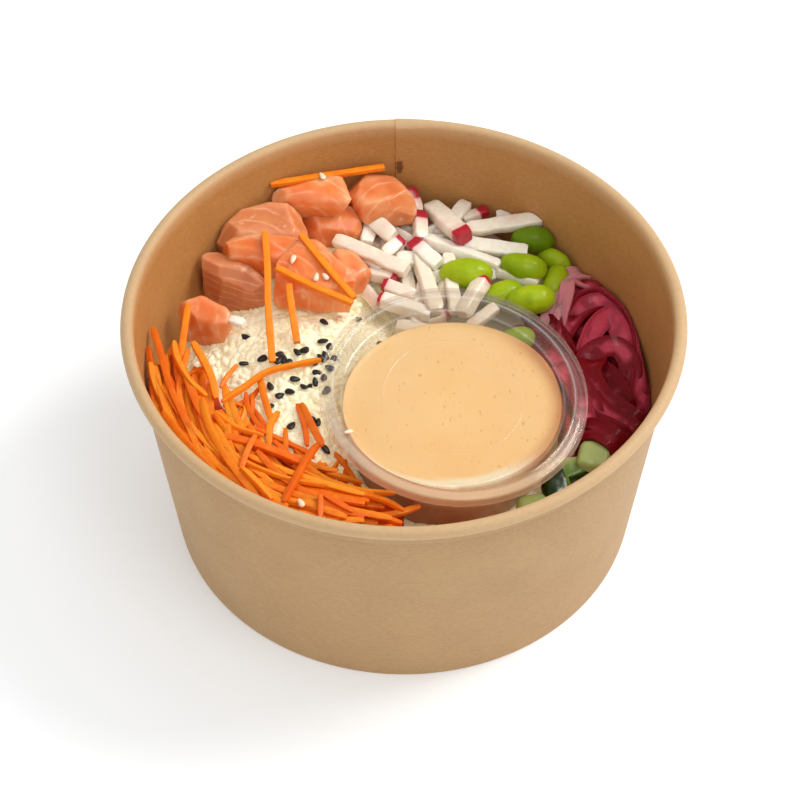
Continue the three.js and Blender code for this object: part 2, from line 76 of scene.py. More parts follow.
lens = bpy.data.cameras.new("camera")
lens.lens = LENS
backwards = Vector((0, -math.cos(LOOK_DOWN), math.sin(LOOK_DOWN)))
camera_at = CAMERA_TARGET + CAMERA_DISTANCE * backwards
bpy.context.scene.camera = aimed("camera", lens, camera_at, CAMERA_TARGET)

# %% [markdown]
# ## Building nodes like sums
# A material is a net of nodes. Wire stands for one socket, so that shader maths reads as plain arithmetic.
# Net.add makes any other node, with the values or links of its sockets and then its settings. Finish is the
# net of a material, and further down Recipe is the net of a Geometry Nodes tree.


# %% Wire and Net
class Wire:
    """A number socket in a node tree: arithmetic on it adds Math nodes."""

    def __init__(self, net, socket):
        self.net = net
        self.socket = socket


OPERATIONS = {"add": "ADD", "sub": "SUBTRACT", "mul": "MULTIPLY", "truediv": "DIVIDE", "pow": "POWER"}
for method, operation in OPERATIONS.items():
    setattr(Wire, f"__{method}__", lambda a, b, kind=operation: a.net.maths(kind, a, b))
    setattr(Wire, f"__r{method}__", lambda a, b, kind=operation: a.net.maths(kind, b, a))


class Net:
    """A node tree under construction."""

    def __init__(self, tree):
        self.tree = tree

    def feed(self, socket, value):
        if isinstance(value, Wire):
            self.tree.links.new(value.socket, socket)
        elif socket.type == "RGBA":
            socket.default_value = (*value, 1.0)
        else:
            socket.default_value = value

    def add(self, kind, inputs=None, out=0, **settings):
        node = self.tree.nodes.new(kind)
        for name, value in settings.items():
            setattr(node, name, value)
        for key, value in (inputs or {}).items():
            self.feed(node.inputs[key], value)
        return Wire(self, node.outputs[out])

    def maths(self, operation, a, b=0.0):
        return self.add("ShaderNodeMath", {0: a, 1: b}, operation=operation)

    def blend(self, amount, a, b):
        """A colour between two colours."""
        return self.add("ShaderNodeMix", {0: amount, 6: a, 7: b}, 2, data_type="RGBA")

    def ease(self, value, low, high):
        """0 below low, 1 above high, and a smooth step between."""
        sockets = {"Value": value, "From Min": low, "From Max": high}
        return self.add("ShaderNodeMapRange", sockets, interpolation_type="SMOOTHSTEP")

    def vectors(self, operation, *inputs, out=0):
        return self.add("ShaderNodeVectorMath", dict(enumerate(inputs)), out, operation=operation)

    def vector(self, *parts):
        return self.add("ShaderNodeCombineXYZ", dict(enumerate(parts)))


class Finish(Net):
    """A material around one Principled shader. place is the point on the surface, in millimetres.

    coat is the weight and roughness of a clear coat. glow is the weight of the light that goes under the
    surface, how many millimetres it goes, and its colour. others are more of the shader's sockets.
    """

    def __init__(self, name, roughness, coat=(0, 0.03), glow=None, others=None):
        self.material = bpy.data.materials.new(name)
        self.material.use_nodes = True
        super().__init__(self.material.node_tree)
        self.shader = self.tree.nodes["Principled BSDF"]
        self.place = self.scaled(1 / MM, 1 / MM, 1 / MM, self.add("ShaderNodeTexCoord", out="Object"))
        self.set({"Roughness": roughness, "Coat Weight": coat[0], "Coat Roughness": coat[1]})
        self.set(others or {})
        if glow:
            under = {"Weight": glow[0], "Scale": glow[1] * MM, "Radius": glow[2]}
            self.set({"Subsurface " + label: value for label, value in under.items()})

    def set(self, settings):
        for name, value in settings.items():
            self.feed(self.shader.inputs[name], value)

    def scaled(self, x, y, z, place=None):
        """The place stretched along each axis."""
        return self.vectors("MULTIPLY", place or self.place, (x, y, z))

    def noise(self, scale, detail=2.0, stretch=(1, 1, 1)):
        sockets = {"Vector": self.scaled(*stretch), "Scale": scale, "Detail": detail}
        return self.add("ShaderNodeTexNoise", sockets)

    def painted(self, name):
        """A number stored on the mesh."""
        return self.add("ShaderNodeAttribute", out="Fac", attribute_name=name)

    def layered(self, colour, *tints):
        """A colour with tints laid over it in turn, each by its own amount."""
        for amount, tint in tints:
            colour = self.blend(amount, colour, tint)
        return colour

    def done(self, colour, height, rise):
        """Sets the colour and a relief that is rise millimetres high where height is 1."""
        bump = self.add("ShaderNodeBump", {"Height": height, "Distance": rise * MM})
        self.set({"Base Color": colour, "Normal": bump})
        return self.material


def paint(red, green, blue):
    """A colour as a picture stores it, 0 to 255, as the light that Blender counts in."""
    return tuple(((c / 255 + 0.055) / 1.055) ** 2.4 for c in (red, green, blue))


# %% [markdown]
# ## Meshes from sums
# Most pieces here are made in one of three ways: turned on a lathe, swept along a curve, or softened from the
# CAD solid. These helpers make a mesh object, print its size, and hand a finished piece to the frame.


# %% Helpers for meshes
def new_object(name, vertices, faces, edges=()):
    mesh = bpy.data.meshes.new(name)
    mesh.from_pydata([tuple(v) for v in vertices], list(edges), [tuple(f) for f in faces])
    return linked(name, mesh)


def store(piece, **numbers):
    """Stores numbers on the vertices, for a material or a node tree to read."""
    for name, values in numbers.items():
        layer = piece.data.attributes.new(name, "FLOAT", "POINT")
        layer.data.foreach_set("value", np.broadcast_to(values, len(layer.data)).astype(np.float32))


def of_vertices(piece, what):
    """The places or the normals of the vertices, as an array."""
    flat = np.empty(len(piece.data.vertices) * 3)
    piece.data.vertices.foreach_get(what, flat)
    return flat.reshape(-1, 3)


def corners(piece):
    """The vertices in millimetres."""
    return of_vertices(piece, "co") / MM


def move_corners(piece, points):
    piece.data.vertices.foreach_set("co", (points * MM).ravel())
    piece.data.update()


def cleaned(piece, material=None, sharp=180.0):
    """Merges doubles, points every face outwards and smooths all but the sharp edges."""
    shell = bmesh.new()
    shell.from_mesh(piece.data)
    bmesh.ops.remove_doubles(shell, verts=shell.verts, dist=1e-7)
    bmesh.ops.recalc_face_normals(shell, faces=shell.faces)
    shell.to_mesh(piece.data)
    shell.free()
    piece.data.shade_smooth()
    piece.data.set_sharp_from_angle(angle=math.radians(sharp))
    if material:
        piece.data.materials.append(material)
    return piece


def settled(piece, name):
    """A new object with the result of a piece's modifiers as its plain mesh."""
    depsgraph = bpy.context.evaluated_depsgraph_get()
    mesh = bpy.data.meshes.new_from_object(
        piece.evaluated_get(depsgraph), preserve_all_data_layers=True, depsgraph=depsgraph
    )
    mesh.name = name
    bpy.data.objects.remove(piece)
    return linked(name, mesh)


def serve(piece, slot, *nodes):
    """Hands a finished piece to the frame: it rides on the bowl's one body and stands for its CAD nodes."""
    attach(piece, "root")
    if nodes:
        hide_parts(*nodes)
    triangles = sum(len(face.vertices) - 2 for face in piece.data.polygons)
    print(f"{piece.name}: {triangles} triangles")
    return piece


# %% A loft and a lathe
def loft(name, rows, tube=False):
    """Joins rows of points in millimetres, and the last row to the first.

    The rows of a tube are closed loops, and its first and last row are its ends.
    """
    count = len(rows[0])
    faces = [tuple(range(count)), tuple(range((len(rows) - 1) * count, len(rows) * count))] if tube else []
    for here in range(len(rows) - tube):
        there = (here + 1) % len(rows)
        for a in range(count - 1 + tube):
            b = (a + 1) % count
            faces.append([row * count + k for row, k in ((here, a), (there, a), (there, b), (here, b))])
    return new_object(name, [Vector(spot) * MM for row in rows for spot in row], faces)


def spoke(angle, outline):
    """Points of (radius, height), turned about Z to an angle."""
    return [Vector((radius * math.cos(angle), radius * math.sin(angle), z)) for radius, z in outline]


def lathe(name, outline, angles, place=Matrix(), shape=None):
    """Turns an outline of (radius, height) about Z. shape(angle, radius, height) may move a point."""
    outline = np.asarray(outline, float)
    rows = []
    for angle in angles:
        moved = [shape(angle, *spot) for spot in outline] if shape else outline
        rows.append([place @ spot for spot in spoke(angle, moved)])
    return loft(name, rows)


def arc(centre, radius, start, end, steps):
    """Points on an arc of an outline, with angles in degrees."""
    angles = np.radians(np.linspace(start, end, steps + 1))
    return [(centre[0] + radius * math.cos(a), centre[1] + radius * math.sin(a)) for a in angles]


def even_angles(count):
    return list(np.linspace(0, math.tau, count, endpoint=False))


# %% [markdown]
# ## The table and the light
# A white table under a bright, even sky gives the pale surroundings, and one large softbox high on the right
# gives the direction: the left side of the bowl is darker, and a faint shadow falls to the left.

# %% Table, sky and softboxes
view = bpy.context.scene.view_settings
view.view_transform = "Standard"

table = new_object("table", [(-3, -3, 0), (3, -3, 0), (3, 3, 0), (-3, 3, 0)], [(0, 1, 2, 3)])
WHITE = (1.0, 1.0, 1.0)
table_glow = {"Base Color": (0.93, 0.955, 0.97), "Emission Color": WHITE, "Emission Strength": 0.14}
table.data.materials.append(Finish("white_table", 0.9, others=table_glow).material)

SKY = 0.8
SKY_IN_REFLECTIONS = 0.4  # the share of the sky that shiny things mirror
world = bpy.data.worlds.new("sky")
world.use_nodes = True
sky = Net(world.node_tree)
mirrored = sky.add("ShaderNodeLightPath", out="Is Glossy Ray")
background = world.node_tree.nodes["Background"]
sky.feed(background.inputs["Color"], WHITE)
sky.feed(background.inputs["Strength"], SKY * (1 - mirrored * (1 - SKY_IN_REFLECTIONS)))
bpy.context.scene.world = world


def softbox(name, at, width, watts, tint=WHITE):
    lamp = bpy.data.lights.new(name, "AREA")
    lamp.shape = "DISK"
    lamp.size = width * MM
    lamp.energy = watts
    lamp.color = tint
    aimed(name, lamp, Vector(at), Vector((0, 0, 30)))


softbox("key", (700, 250, 860), 520, 6.9, (1.0, 0.98, 0.95))
softbox("front", (260, -420, 1000), 400, 1.4)

# %% [markdown]
# ## Kraft paper
# The bowl is one sheet of brown paper bent round, lapped over itself at the back and rolled outwards at the
# top. Kraft paper is made of long wood fibres, so its colour is mottled at two scales and its face is faintly
# bumpy. A thin film inside keeps the food's juices off the paper and shines a little.


# %% The paper's finish
STAIN = (-1.2, 70.3, 60.4)  # sauce that crept into the lap, and one over its half sizes
STAIN_SCALE = (0.75, 0.2, 0.33)


def kraft_paper():
    paper = Finish("kraft_paper", 0.58, (0, 0.38))
    fibres = paper.noise(1.4, 5.0, (0.5, 0.5, 1.6))
    clouds = paper.noise(0.07, 3.0)
    flecks = paper.ease(paper.noise(1.6, 1.0), 0.66, 0.78)
    tone = paper.ease(fibres * 0.7 + clouds * 0.3, 0.3, 0.7)
    film = paper.painted("film")
    outer = paper.blend(tone, paint(172, 134, 88), paint(186, 148, 100))
    inner = paper.blend(tone, paint(180, 126, 66), paint(194, 141, 79))
    beside = tuple(a * b for a, b in zip(STAIN, STAIN_SCALE))
    away = paper.vectors("DISTANCE", paper.scaled(*STAIN_SCALE), beside, out="Value")
    stain = 1 - paper.ease(away + paper.noise(0.9, 3.0) * 1.2, 1.1, 1.7)
    # The top of the roll is lightened: a painted highlight where the light catches it.
    colour = paper.layered(
        paper.blend(film, outer, inner), (flecks * 0.2, paint(150, 108, 68)),
        (paper.painted("worn") * 0.4, paint(222, 190, 148)), (stain * film * 0.95, paint(112, 66, 30)),
    )
    paper.set({"Coat Weight": film * 0.25})
    return paper.done(colour, fibres * 0.5 + paper.noise(0.3), 0.06)


# %% [markdown]
# The wall leans out from the foot to the rim. Its outline is closed: under the recessed base, round the
# folded foot, up the outside, round the roll and down the inside. Where the sheet laps over itself, the inner
# layer steps inwards by a sheet's thickness and eases back, so the angles are packed closely there.

# %% The paper bowl
HEIGHT = 75
RIM = 75
ROLL = 1.75
FOOT = 64
SHEET = 0.5
RECESS = 3.5
CREASE = 66.25  # height of the line pressed into the wall below the roll
LAP = math.radians(91.8)  # where the sheet's edge lies, at the back
LAP_WIDTH = math.radians(9)


def wall_radius(height):
    """Outer radius of the wall."""
    return FOOT + (RIM - 3 - FOOT) * height / (HEIGHT - 2 * ROLL)


def lapped(angle, radius, height):
    """Steps the inner side of the wall in, where the sheet lies double."""
    past = (LAP - angle) / LAP_WIDTH
    step = SHEET * (1 - past) if 0 <= past <= 1 else 0
    if radius < wall_radius(height) - 0.4 and height > RECESS + 2:
        return radius - step, height
    if height > HEIGHT - 2 * ROLL:
        return radius + 0.3 * step, height + 0.3 * step
    return radius, height


def bowl_outline():
    inner_foot = FOOT - 2.4 * SHEET
    foot = arc((FOOT - 1.2 * SHEET, 0.6), 0.6, 180, 360, 6)
    pressed = ((-0.75, 0), (-0.25, 0.14), (0.25, 0.14), (0.75, 0))
    crease = [(wall_radius(CREASE + up) - dent, CREASE + up) for up, dent in pressed]
    outside = [(wall_radius(z), z) for z in (2, 8, 20, 35, 50)]
    roll = arc((RIM - ROLL, HEIGHT - ROLL), ROLL, -142, 180, 22)
    inside = [(wall_radius(z) - SHEET, z) for z in (70, 66, 55, 40, 25, 12, RECESS + 2.2)]
    floor = [(wall_radius(RECESS + 1) - 1.5, RECESS + 1), (0, RECESS + 1)]
    wall = [*foot, *outside, *crease, (wall_radius(71), 71), *roll, *inside]
    return [(0, RECESS), (inner_foot, RECESS), *wall, *floor]


lap_angles = [LAP - LAP_WIDTH, LAP - 0.004, LAP, LAP + 0.002]
bowl = lathe("kraft_bowl", bowl_outline(), sorted(even_angles(300) + lap_angles), shape=lapped)
cleaned(bowl, kraft_paper(), 50)
x, y, z = corners(bowl).T
# film marks the inside; the top of the roll gets a painted highlight.
store(bowl, film=np.hypot(x, y) < wall_radius(z) - 0.3, worn=np.clip(z - 71.2, 0, 1))
serve(bowl, "kraft_paper", "paper_bowl")

# %% [markdown]
# ## The sauce cup
# A thin clear cup is pressed into the food and leans a little. Its lid has a flange, a bead, a step down to a
# flat panel and a raised ring on the panel. Real clear plastic is mostly see-through and mirrors the room at
# a glancing angle, so its finish mixes a transparent shader with a shiny one by Schlick's rule for that.
# Where the plastic is doubled, at the flange, it is hazier. Its edges get whitish lines of painted highlight,
# and the near side of the flange gets a thicker veil of painted light, tinted peach as a painted glow from the
# sauce.

# %% Clear plastic
CUP_AT = Vector((13.3, -15, 60.5))
CUP_LEAN = (math.radians(3.5), math.radians(4.1))
CUP_TILT = Matrix.Rotation(CUP_LEAN[0], 4, "X") @ Matrix.Rotation(CUP_LEAN[1], 4, "Y")
CUP_PLACE = Matrix.Translation(CUP_AT) @ CUP_TILT


def clear_plastic(name):
    plastic = Finish(name, 0.05)
    edge_on = plastic.add("ShaderNodeLayerWeight", {"Blend": 0.5}, out="Facing")
    glance = 0.03 + edge_on**5 * 0.3
    # The stored veil, with its painted light at the front and its painted highlight lines, is a diffuse share
    # whose colour goes peach on the near side: a painted glow from the sauce.
    veil = plastic.painted("haze")
    amount = plastic.maths("MINIMUM", glance + veil, 1.0)
    colour = plastic.blend(plastic.painted("warmth"), (0.93, 0.90, 0.88), (1.0, 0.72, 0.46))
    plastic.set({"Base Color": colour, "Metallic": 1 - veil / amount})
    clear = plastic.add("ShaderNodeBsdfTransparent", {"Color": (0.963, 0.95, 0.932)})
    sockets = {0: amount, 1: clear, 2: Wire(plastic, plastic.shader.outputs[0])}
    mixed = plastic.add("ShaderNodeMixShader", sockets)
    plastic.feed(plastic.tree.nodes["Material Output"].inputs["Surface"], mixed)
    return plastic.material


# %% [markdown]
# Both outlines are closed loops of a wall 0.4 mm thick. Rounded corners matter more than anything else here,
# because the bright rings of a clear lid are the corners catching the light, and painted highlight lines at
# those radii add to them.

# %% Cup and lid
FLANGE = 35.7
BEAD = 32.3
PANEL = 30.0
EMBOSS = 18.7
DROP = 3.0
SKIRT = 2.6
CUP_HEIGHT = 35.0
CUP_FOOT = 25.2
PLASTIC = 0.4


def lid_outline():
    ring = arc((EMBOSS, -DROP), 0.45, 180, 0, 6)
    step = arc((PANEL - 0.6, -DROP + 0.9), 0.9, -90, -30, 5)
    bead = arc((BEAD, -0.2), 0.55, 160, 20, 7)
    edge = arc((FLANGE - 0.7, -0.7), 0.7, 90, 10, 6)
    top = [(0, -DROP), *ring, *step, *bead, (33.6, 0), *edge, (FLANGE + 0.15, -SKIRT)]
    under = [
        (FLANGE - 0.25, -SKIRT), (FLANGE - 0.45, -1.0), (FLANGE - 0.9, -PLASTIC), (33.4, -PLASTIC),
        (BEAD, -0.1), (BEAD - 0.7, -1.0), (PANEL + 0.1, -DROP - 0.1), (PANEL - 0.7, -DROP - PLASTIC),
        (0, -DROP - PLASTIC),
    ]
    return top + under


def cup_outline():
    lip = [(34.4, -2.2), (34.55, -1.6), (34.2, -1.15), (33.6, -1.1), (33.1, -1.3)]
    inside = [(31.2, -4.4), (30.4, -4.9), (29.4, -5.6), (29.1, -6.4), (CUP_FOOT - 0.6, -CUP_HEIGHT + 1.6)]
    low = -CUP_HEIGHT
    outside = [(CUP_FOOT, low + 1.2), (29.6, -6.2), (29.9, -5.4), (31.0, -4.9), (31.7, -4.3), (33.6, -2.0)]
    base_in = [(CUP_FOOT - 1.6, low + 1.2), (0, low + 1.2)]
    base_out = [(0, low + 0.8), (CUP_FOOT - 2.2, low + 0.8), (CUP_FOOT - 1.6, low), (CUP_FOOT - 0.5, low)]
    return base_out + outside + lip + inside + base_in


def round_axis(piece):
    """Distance of each vertex from the cup's own axis, and its bearing about it in degrees."""
    back_home = np.array(CUP_PLACE.inverted())
    x, y, _ = (corners(piece) @ back_home[:3, :3].T + back_home[:3, 3]).T
    return np.hypot(x, y), np.degrees(np.arctan2(y, x))


def haze(piece, start, veil, lines):
    """Stores a haze beyond a radius, thicker towards the front as painted light, and painted highlight lines of
    (radius, half width, strength).
    """
    radius, bearing = round_axis(piece)
    # front is the near side, where the stored veil is painted light and the peach tint a painted glow from the
    # sauce.
    front = np.clip(1.5 - np.abs(bearing + 90) / 60, 0, 1)
    amount = veil * (0.05 + 0.95 * front) * np.clip((radius - start) / 0.8, 0, 1)
    for middle, half, strength in lines:
        amount = np.maximum(amount, strength * np.clip(1.5 - np.abs(radius - middle) / half, 0, 1))
    store(piece, haze=amount, warmth=front)


# Painted highlight lines on lid and cup, where the corners catch the light: radius, half width and strength.
LID_LINES = ((EMBOSS, 0.4, 0.06), (PANEL - 0.2, 0.25, 0.12), (BEAD, 0.25, 0.16), (FLANGE, 0.25, 0.24))
CUP_LINES = ((29.4, 0.25, 0.08), (31.2, 0.25, 0.05), (34.5, 0.2, 0.08))


def clear_shell(name, outline, start, veil, lines, node):
    shell = lathe(name, outline, even_angles(144), CUP_PLACE)
    cleaned(shell, clear_plastic("clear_" + name), 60)
    haze(shell, start, veil, lines)
    return serve(shell, "clear_plastic", node)


lid = clear_shell("cup_lid", lid_outline(), 32.4, 0.38, LID_LINES, "sauce_lid")
clear_shell("cup_shell", cup_outline(), 30, 0.05, CUP_LINES, "sauce_cup")

# %% [markdown]
# ## The sauce
# The sauce is level although the cup leans, so each spoke of it stops at its own height on the wall. It
# reaches a fifth of a millimetre into the plastic, which leaves no air gap to show. Its surface creeps up the
# wall, most of all at the near edge, where the sauce has touched the lid and left a paler crescent. The pale
# colour there, and down the near side, is partly that crescent and partly painted light seen through the
# flange; the right edge and the lower side are darkened with painted shade.

# %% The sauce
SAUCE_LEVEL = 54.2
CREEP = 2.2


def cup_inner(height):
    """Inner radius of the cup at a height in its own frame."""
    share = (height + 6.4) / (-CUP_HEIGHT + 8)
    return 29.1 + share * (CUP_FOOT - 0.6 - 29.1)


def sauce_spoke(angle):
    """One spoke's points: up the cup's wall and in along the surface."""
    lean = CUP_TILT[2][0] * math.cos(angle) + CUP_TILT[2][1] * math.sin(angle)

    def level(radius):
        return (SAUCE_LEVEL - CUP_AT.z - radius * lean) / CUP_TILT[2][2]

    bottom = -CUP_HEIGHT + 1.3
    edge = min(level(28.6), -5.6)
    creep = CREEP * (0.35 + 0.65 * max(0, -math.sin(angle)) ** 2)
    points = [(0, bottom), (CUP_FOOT - 1, bottom)]
    points += [(cup_inner(h) + 0.2, h) for h in np.linspace(bottom + 0.4, edge + creep, 8)]
    for inset in (0.3, 0.8, 1.6, 2.8, 4.5, 7, 10, 14, 18, 22, 26):
        radius = max(0, cup_inner(edge) - inset)
        points.append((radius, level(radius) + creep * math.exp(-inset / 1.3)))
    return [CUP_PLACE @ spot for spot in spoke(angle, [*points, (0, level(0))])]


def sauce_finish():
    sauce = Finish("dressing", 0.34, (0.15, 0.2), (0.25, 2, (1.0, 0.6, 0.3)))
    drift = sauce.ease(sauce.noise(0.06), 0.3, 0.7)
    specks = sauce.ease(sauce.noise(1.25, 1.0, (1, 0.5, 1)), 0.69, 0.74)
    # creep pales the near edge, partly as painted light; shade is painted shade.
    colour = sauce.layered(
        sauce.blend(drift, paint(253, 208, 145), paint(254, 214, 154)),
        (sauce.painted("creep"), paint(255, 242, 212)), (specks * 0.4, paint(176, 108, 60)),
        (sauce.painted("shade"), paint(178, 76, 4)),
    )
    return sauce.done(colour, sauce.noise(0.16), 0.25)


sauce = loft("sauce_fill", [sauce_spoke(angle) for angle in even_angles(128)])
cleaned(sauce, sauce_finish(), 60)
x, y, z = corners(sauce).T
toward_front = np.clip((CUP_AT.y - y - 14) / 10, 0, 1)
toward_right = np.clip((x - CUP_AT.x - 12) / 10, 0, 1)
radius, bearing = round_axis(sauce)
crescent = np.clip(1.25 - np.abs(bearing + 72) / 44, 0, 1)
beside_wall = np.clip((radius - 25.4) / 3.2, 0, 1) * toward_right * 0.55
low_down = np.clip((52 - z) / 8, 0, 1)
# creep: the paler crescent, partly painted light on the near side. shade: painted shade at the right edge and
# low down.
store(
    sauce, creep=np.clip((radius - 28.2 + 3.4 * crescent) / 1.2, 0, 1) * toward_front,
    shade=np.maximum(beside_wall, low_down),
)
serve(sauce, "dressing", "sauce")

# %% [markdown]
# ## The rice
# The bed is a height field: a low level with flat-topped mounds on it, the same sum as in the CAD model. Its
# face is bumpy at the size of a grain, and real grains are scattered over it where it shows. The cup stands
# in the bed, so the field drops away under it.

# %% The bed's height
BED = 33
MOUNDS = (  # middle x and y, rise, half widths in x and y
    (-30, 6, 15, 34, 34),
    (-26, 4, 3, 17, 17),
    (-30, 48, 12, 28, 16),
    (10, 54, 8, 20, 14),
    (38, 42, 8, 14, 14),
    (58, 4, -2, 14, 26),
    (-36, -42, 12, 28, 26),
    (16, -56, 7, 28, 12),
)


def bed_height(x, y):
    height = BED
    for middle_x, middle_y, rise, wide, deep in MOUNDS:
        away = ((x - middle_x) / wide) ** 2 + ((y - middle_y) / deep) ** 2
        height = height + rise * np.exp(-(away**2))
    return height


def cup_gap(x, y, z):
    """How far a point is outside the cup, in millimetres; less than 0 is inside."""
    spot = CUP_PLACE.inverted() @ Vector((x, y, z))
    outer = cup_inner(min(max(spot.z, -CUP_HEIGHT), -6.4)) + 0.6
    if spot.z > -4.5:
        outer = FLANGE + 0.3
    return math.hypot(spot.x, spot.y) - outer


# %% [markdown]
# The bed is turned on the lathe as well, with many rings, so that it meets the round wall neatly. A list of
# radii is the outline, and each vertex is then lifted to its height.

# %% The bed of rice
BED_RADIUS = 69
rings = np.linspace(0, BED_RADIUS, 100)
bed = lathe("rice_bed", [(r, 1) for r in rings] + [(BED_RADIUS, 0), (0, 0)], even_angles(260))
points = corners(bed)
top = points[:, 2] > 0.5
field = bed_height(points[:, 0], points[:, 1])
for i in np.flatnonzero(top):
    spot = Vector(points[i])
    spot.z = field[i]
    lumps = noise.noise(spot * 0.42) * 0.9 + noise.noise(spot * 0.16) * 0.9
    points[i, 2] = field[i] + lumps
    if cup_gap(spot.x, spot.y, points[i, 2]) < 0.35:
        points[i, 2] = CUP_AT.z - CUP_HEIGHT - 3
    points[i, :2] *= min(1, (wall_radius(points[i, 2]) - 1.2) / BED_RADIUS)
points[~top, 2] = RECESS + 1.3
points[~top, :2] *= (wall_radius(RECESS) - 1.8) / BED_RADIUS
move_corners(bed, points)


def rice_finish():
    # A faint painted glow, standing for light scattered among the grains.
    emission = {"Emission Color": (1.0, 0.83, 0.46), "Emission Strength": 0.1}
    rice = Finish("cooked_rice", 0.42, (0.1, 0.3), (0.25, 0.8, (1.0, 0.85, 0.6)), emission)
    grain = rice.painted("tone")
    cloudy = rice.noise(0.5)
    colour = rice.blend(grain * 0.6 + cloudy * 0.4, paint(246, 238, 200), paint(254, 250, 226))
    # A tone below 0 darkens the bed to olive: painted shade behind the cup.
    colour = rice.blend(rice.ease(grain * -1, 0.0, 1.6), colour, paint(116, 104, 62))
    return rice.done(colour, rice.noise(1.2), 0.08)


def behind_cup(x, y):
    """1 between the cup and the beans, where the rice is darkened with painted shade, and 0 elsewhere."""
    return np.clip((x + 2) / 8, 0, 1) * np.clip((y - 6) / 8, 0, 1)


cooked_rice = rice_finish()
cleaned(bed, cooked_rice)
x, y, _ = corners(bed).T
# The tone goes below 0 behind the cup, for painted shade there.
store(bed, tone=0.8 - 2.8 * behind_cup(x, y))


# %% [markdown]
# A cooked grain is a plump spindle, 4.4 by 2.1 mm and slightly bent. Geometry Nodes scatter it: points are
# spread over the bed no closer than a set distance, thinned by a stored mask, and each gets a grain that lies
# along the surface with a turn and a tilt of its own. The tree ends in Realize Instances and Set Material.


# %% A spindle for grains, seeds and beans
def spindle(name, length, width, thickness, blunt, bend=0.0, sides=8, rings=6):
    """A closed spindle along X. blunt is how square its ends are."""
    rows = []
    for turn in even_angles(sides):
        row = []
        for along in [-math.cos(math.pi * ring / rings) for ring in range(rings + 1)]:
            swell = max(0, 1 - abs(along) ** blunt) ** 0.5
            up = thickness / 2 * swell * math.sin(turn) + bend * (1 - along**2)
            row.append((along * length / 2, width / 2 * swell * math.cos(turn), up))
        rows.append(row)
    return cleaned(loft(name, rows))


# %% Geometry Nodes trees
class Recipe(Net):
    """A Geometry Nodes tree with a named number input for each size."""

    def __init__(self, name, sizes):
        tree = bpy.data.node_groups.new(name, "GeometryNodeTree")
        super().__init__(tree)
        self.sizes = sizes
        for way in ("INPUT", "OUTPUT"):
            tree.interface.new_socket("Geometry", in_out=way, socket_type="NodeSocketGeometry")
        for label, value in sizes.items():
            kind = "NodeSocketInt" if isinstance(value, int) else "NodeSocketFloat"
            tree.interface.new_socket(label, in_out="INPUT", socket_type=kind)
        entry = tree.nodes.new("NodeGroupInput")
        self.inputs = {socket.name: Wire(self, socket) for socket in entry.outputs if socket.name}

    def stored(self, label):
        return self.add("GeometryNodeInputNamedAttribute", {"Name": label}, data_type="FLOAT")

    def storing(self, geometry, label, value, domain):
        sockets = {"Geometry": geometry, "Name": label, "Value": value}
        return self.add("GeometryNodeStoreNamedAttribute", sockets, data_type="FLOAT", domain=domain)

    def random(self, low, high, seed):
        sockets = {2: low, 3: high, "Seed": seed}
        return self.add("FunctionNodeRandomValue", sockets, 1, data_type="FLOAT")

    def moved(self, geometry, offset):
        return self.add("GeometryNodeSetPosition", {"Geometry": geometry, "Offset": offset})

    def done(self, geometry, material):
        real = self.add("GeometryNodeRealizeInstances", {"Geometry": geometry})
        dressed = self.add("GeometryNodeSetMaterial", {"Geometry": real, "Material": material})
        self.feed(self.tree.nodes.new("NodeGroupOutput").inputs[0], dressed)
        return self

    def run(self, piece, name):
        """Runs the tree on a piece and gives the result as a plain object."""
        modifier = piece.modifiers.new("nodes", "NODES")
        modifier.node_group = self.tree
        for item in self.tree.interface.items_tree:
            if item.name in self.sizes:
                modifier[item.identifier] = self.sizes[item.name]
        return settled(piece, name)


def scattering(name, grain, material, spacing, lift, tilt, seed):
    """Grains spread over a surface by its stored number named show."""
    net = Recipe(name, {"Spacing": spacing * MM, "Lift": lift * MM, "Tilt": tilt, "Seed": seed})
    inputs = net.inputs
    sockets = {
        "Mesh": inputs["Geometry"], "Distance Min": inputs["Spacing"], "Seed": inputs["Seed"],
        "Density Max": 3.0 / (spacing * MM) ** 2, "Density Factor": net.stored("show"),
    }
    points = net.add("GeometryNodeDistributePointsOnFaces", sockets, distribute_method="POISSON")
    lean = inputs["Tilt"]
    turn = net.vector(*(net.random(lean * -1, lean, seed) for seed in (1, 2)), net.random(0.0, math.tau, 3))
    own = net.add("FunctionNodeEulerToRotation", {"Euler": turn})
    flat = Wire(net, points.socket.node.outputs["Rotation"])
    rotation = net.add("FunctionNodeRotateRotation", {0: flat, 1: own}, rotation_space="LOCAL")
    shape = net.add("GeometryNodeObjectInfo", {"Object": grain}, out="Geometry")
    sockets = {"Points": points, "Instance": shape, "Rotation": rotation, "Scale": net.random(0.82, 1.12, 4)}
    grains = net.add("GeometryNodeInstanceOnPoints", sockets)
    shift = net.vector(0, 0, net.random(-0.9, 0.8, 5) * inputs["Lift"])
    raised = net.add("GeometryNodeTranslateInstances", {"Instances": grains, "Translation": shift})
    return net.done(net.storing(raised, "tone", net.random(0.0, 1.0, 6), "INSTANCE"), material)


# %% The grains
def inside_wall(points, gap=0.3):
    """The points, drawn in wherever they are nearer to the bowl's wall than gap."""
    points = np.array(points, float)
    limit = wall_radius(points[:, 2]) - SHEET - gap
    away = np.maximum(np.hypot(points[:, 0], points[:, 1]), 1)
    points[:, :2] *= np.minimum(1, limit / away)[:, None]
    return points


GRAIN_SPACING = 1.5
GRAIN = (4.4, 2.1, 2.0)  # length, width and thickness
grain = spindle("grain", *GRAIN, blunt=2.8, bend=0.15, sides=7)


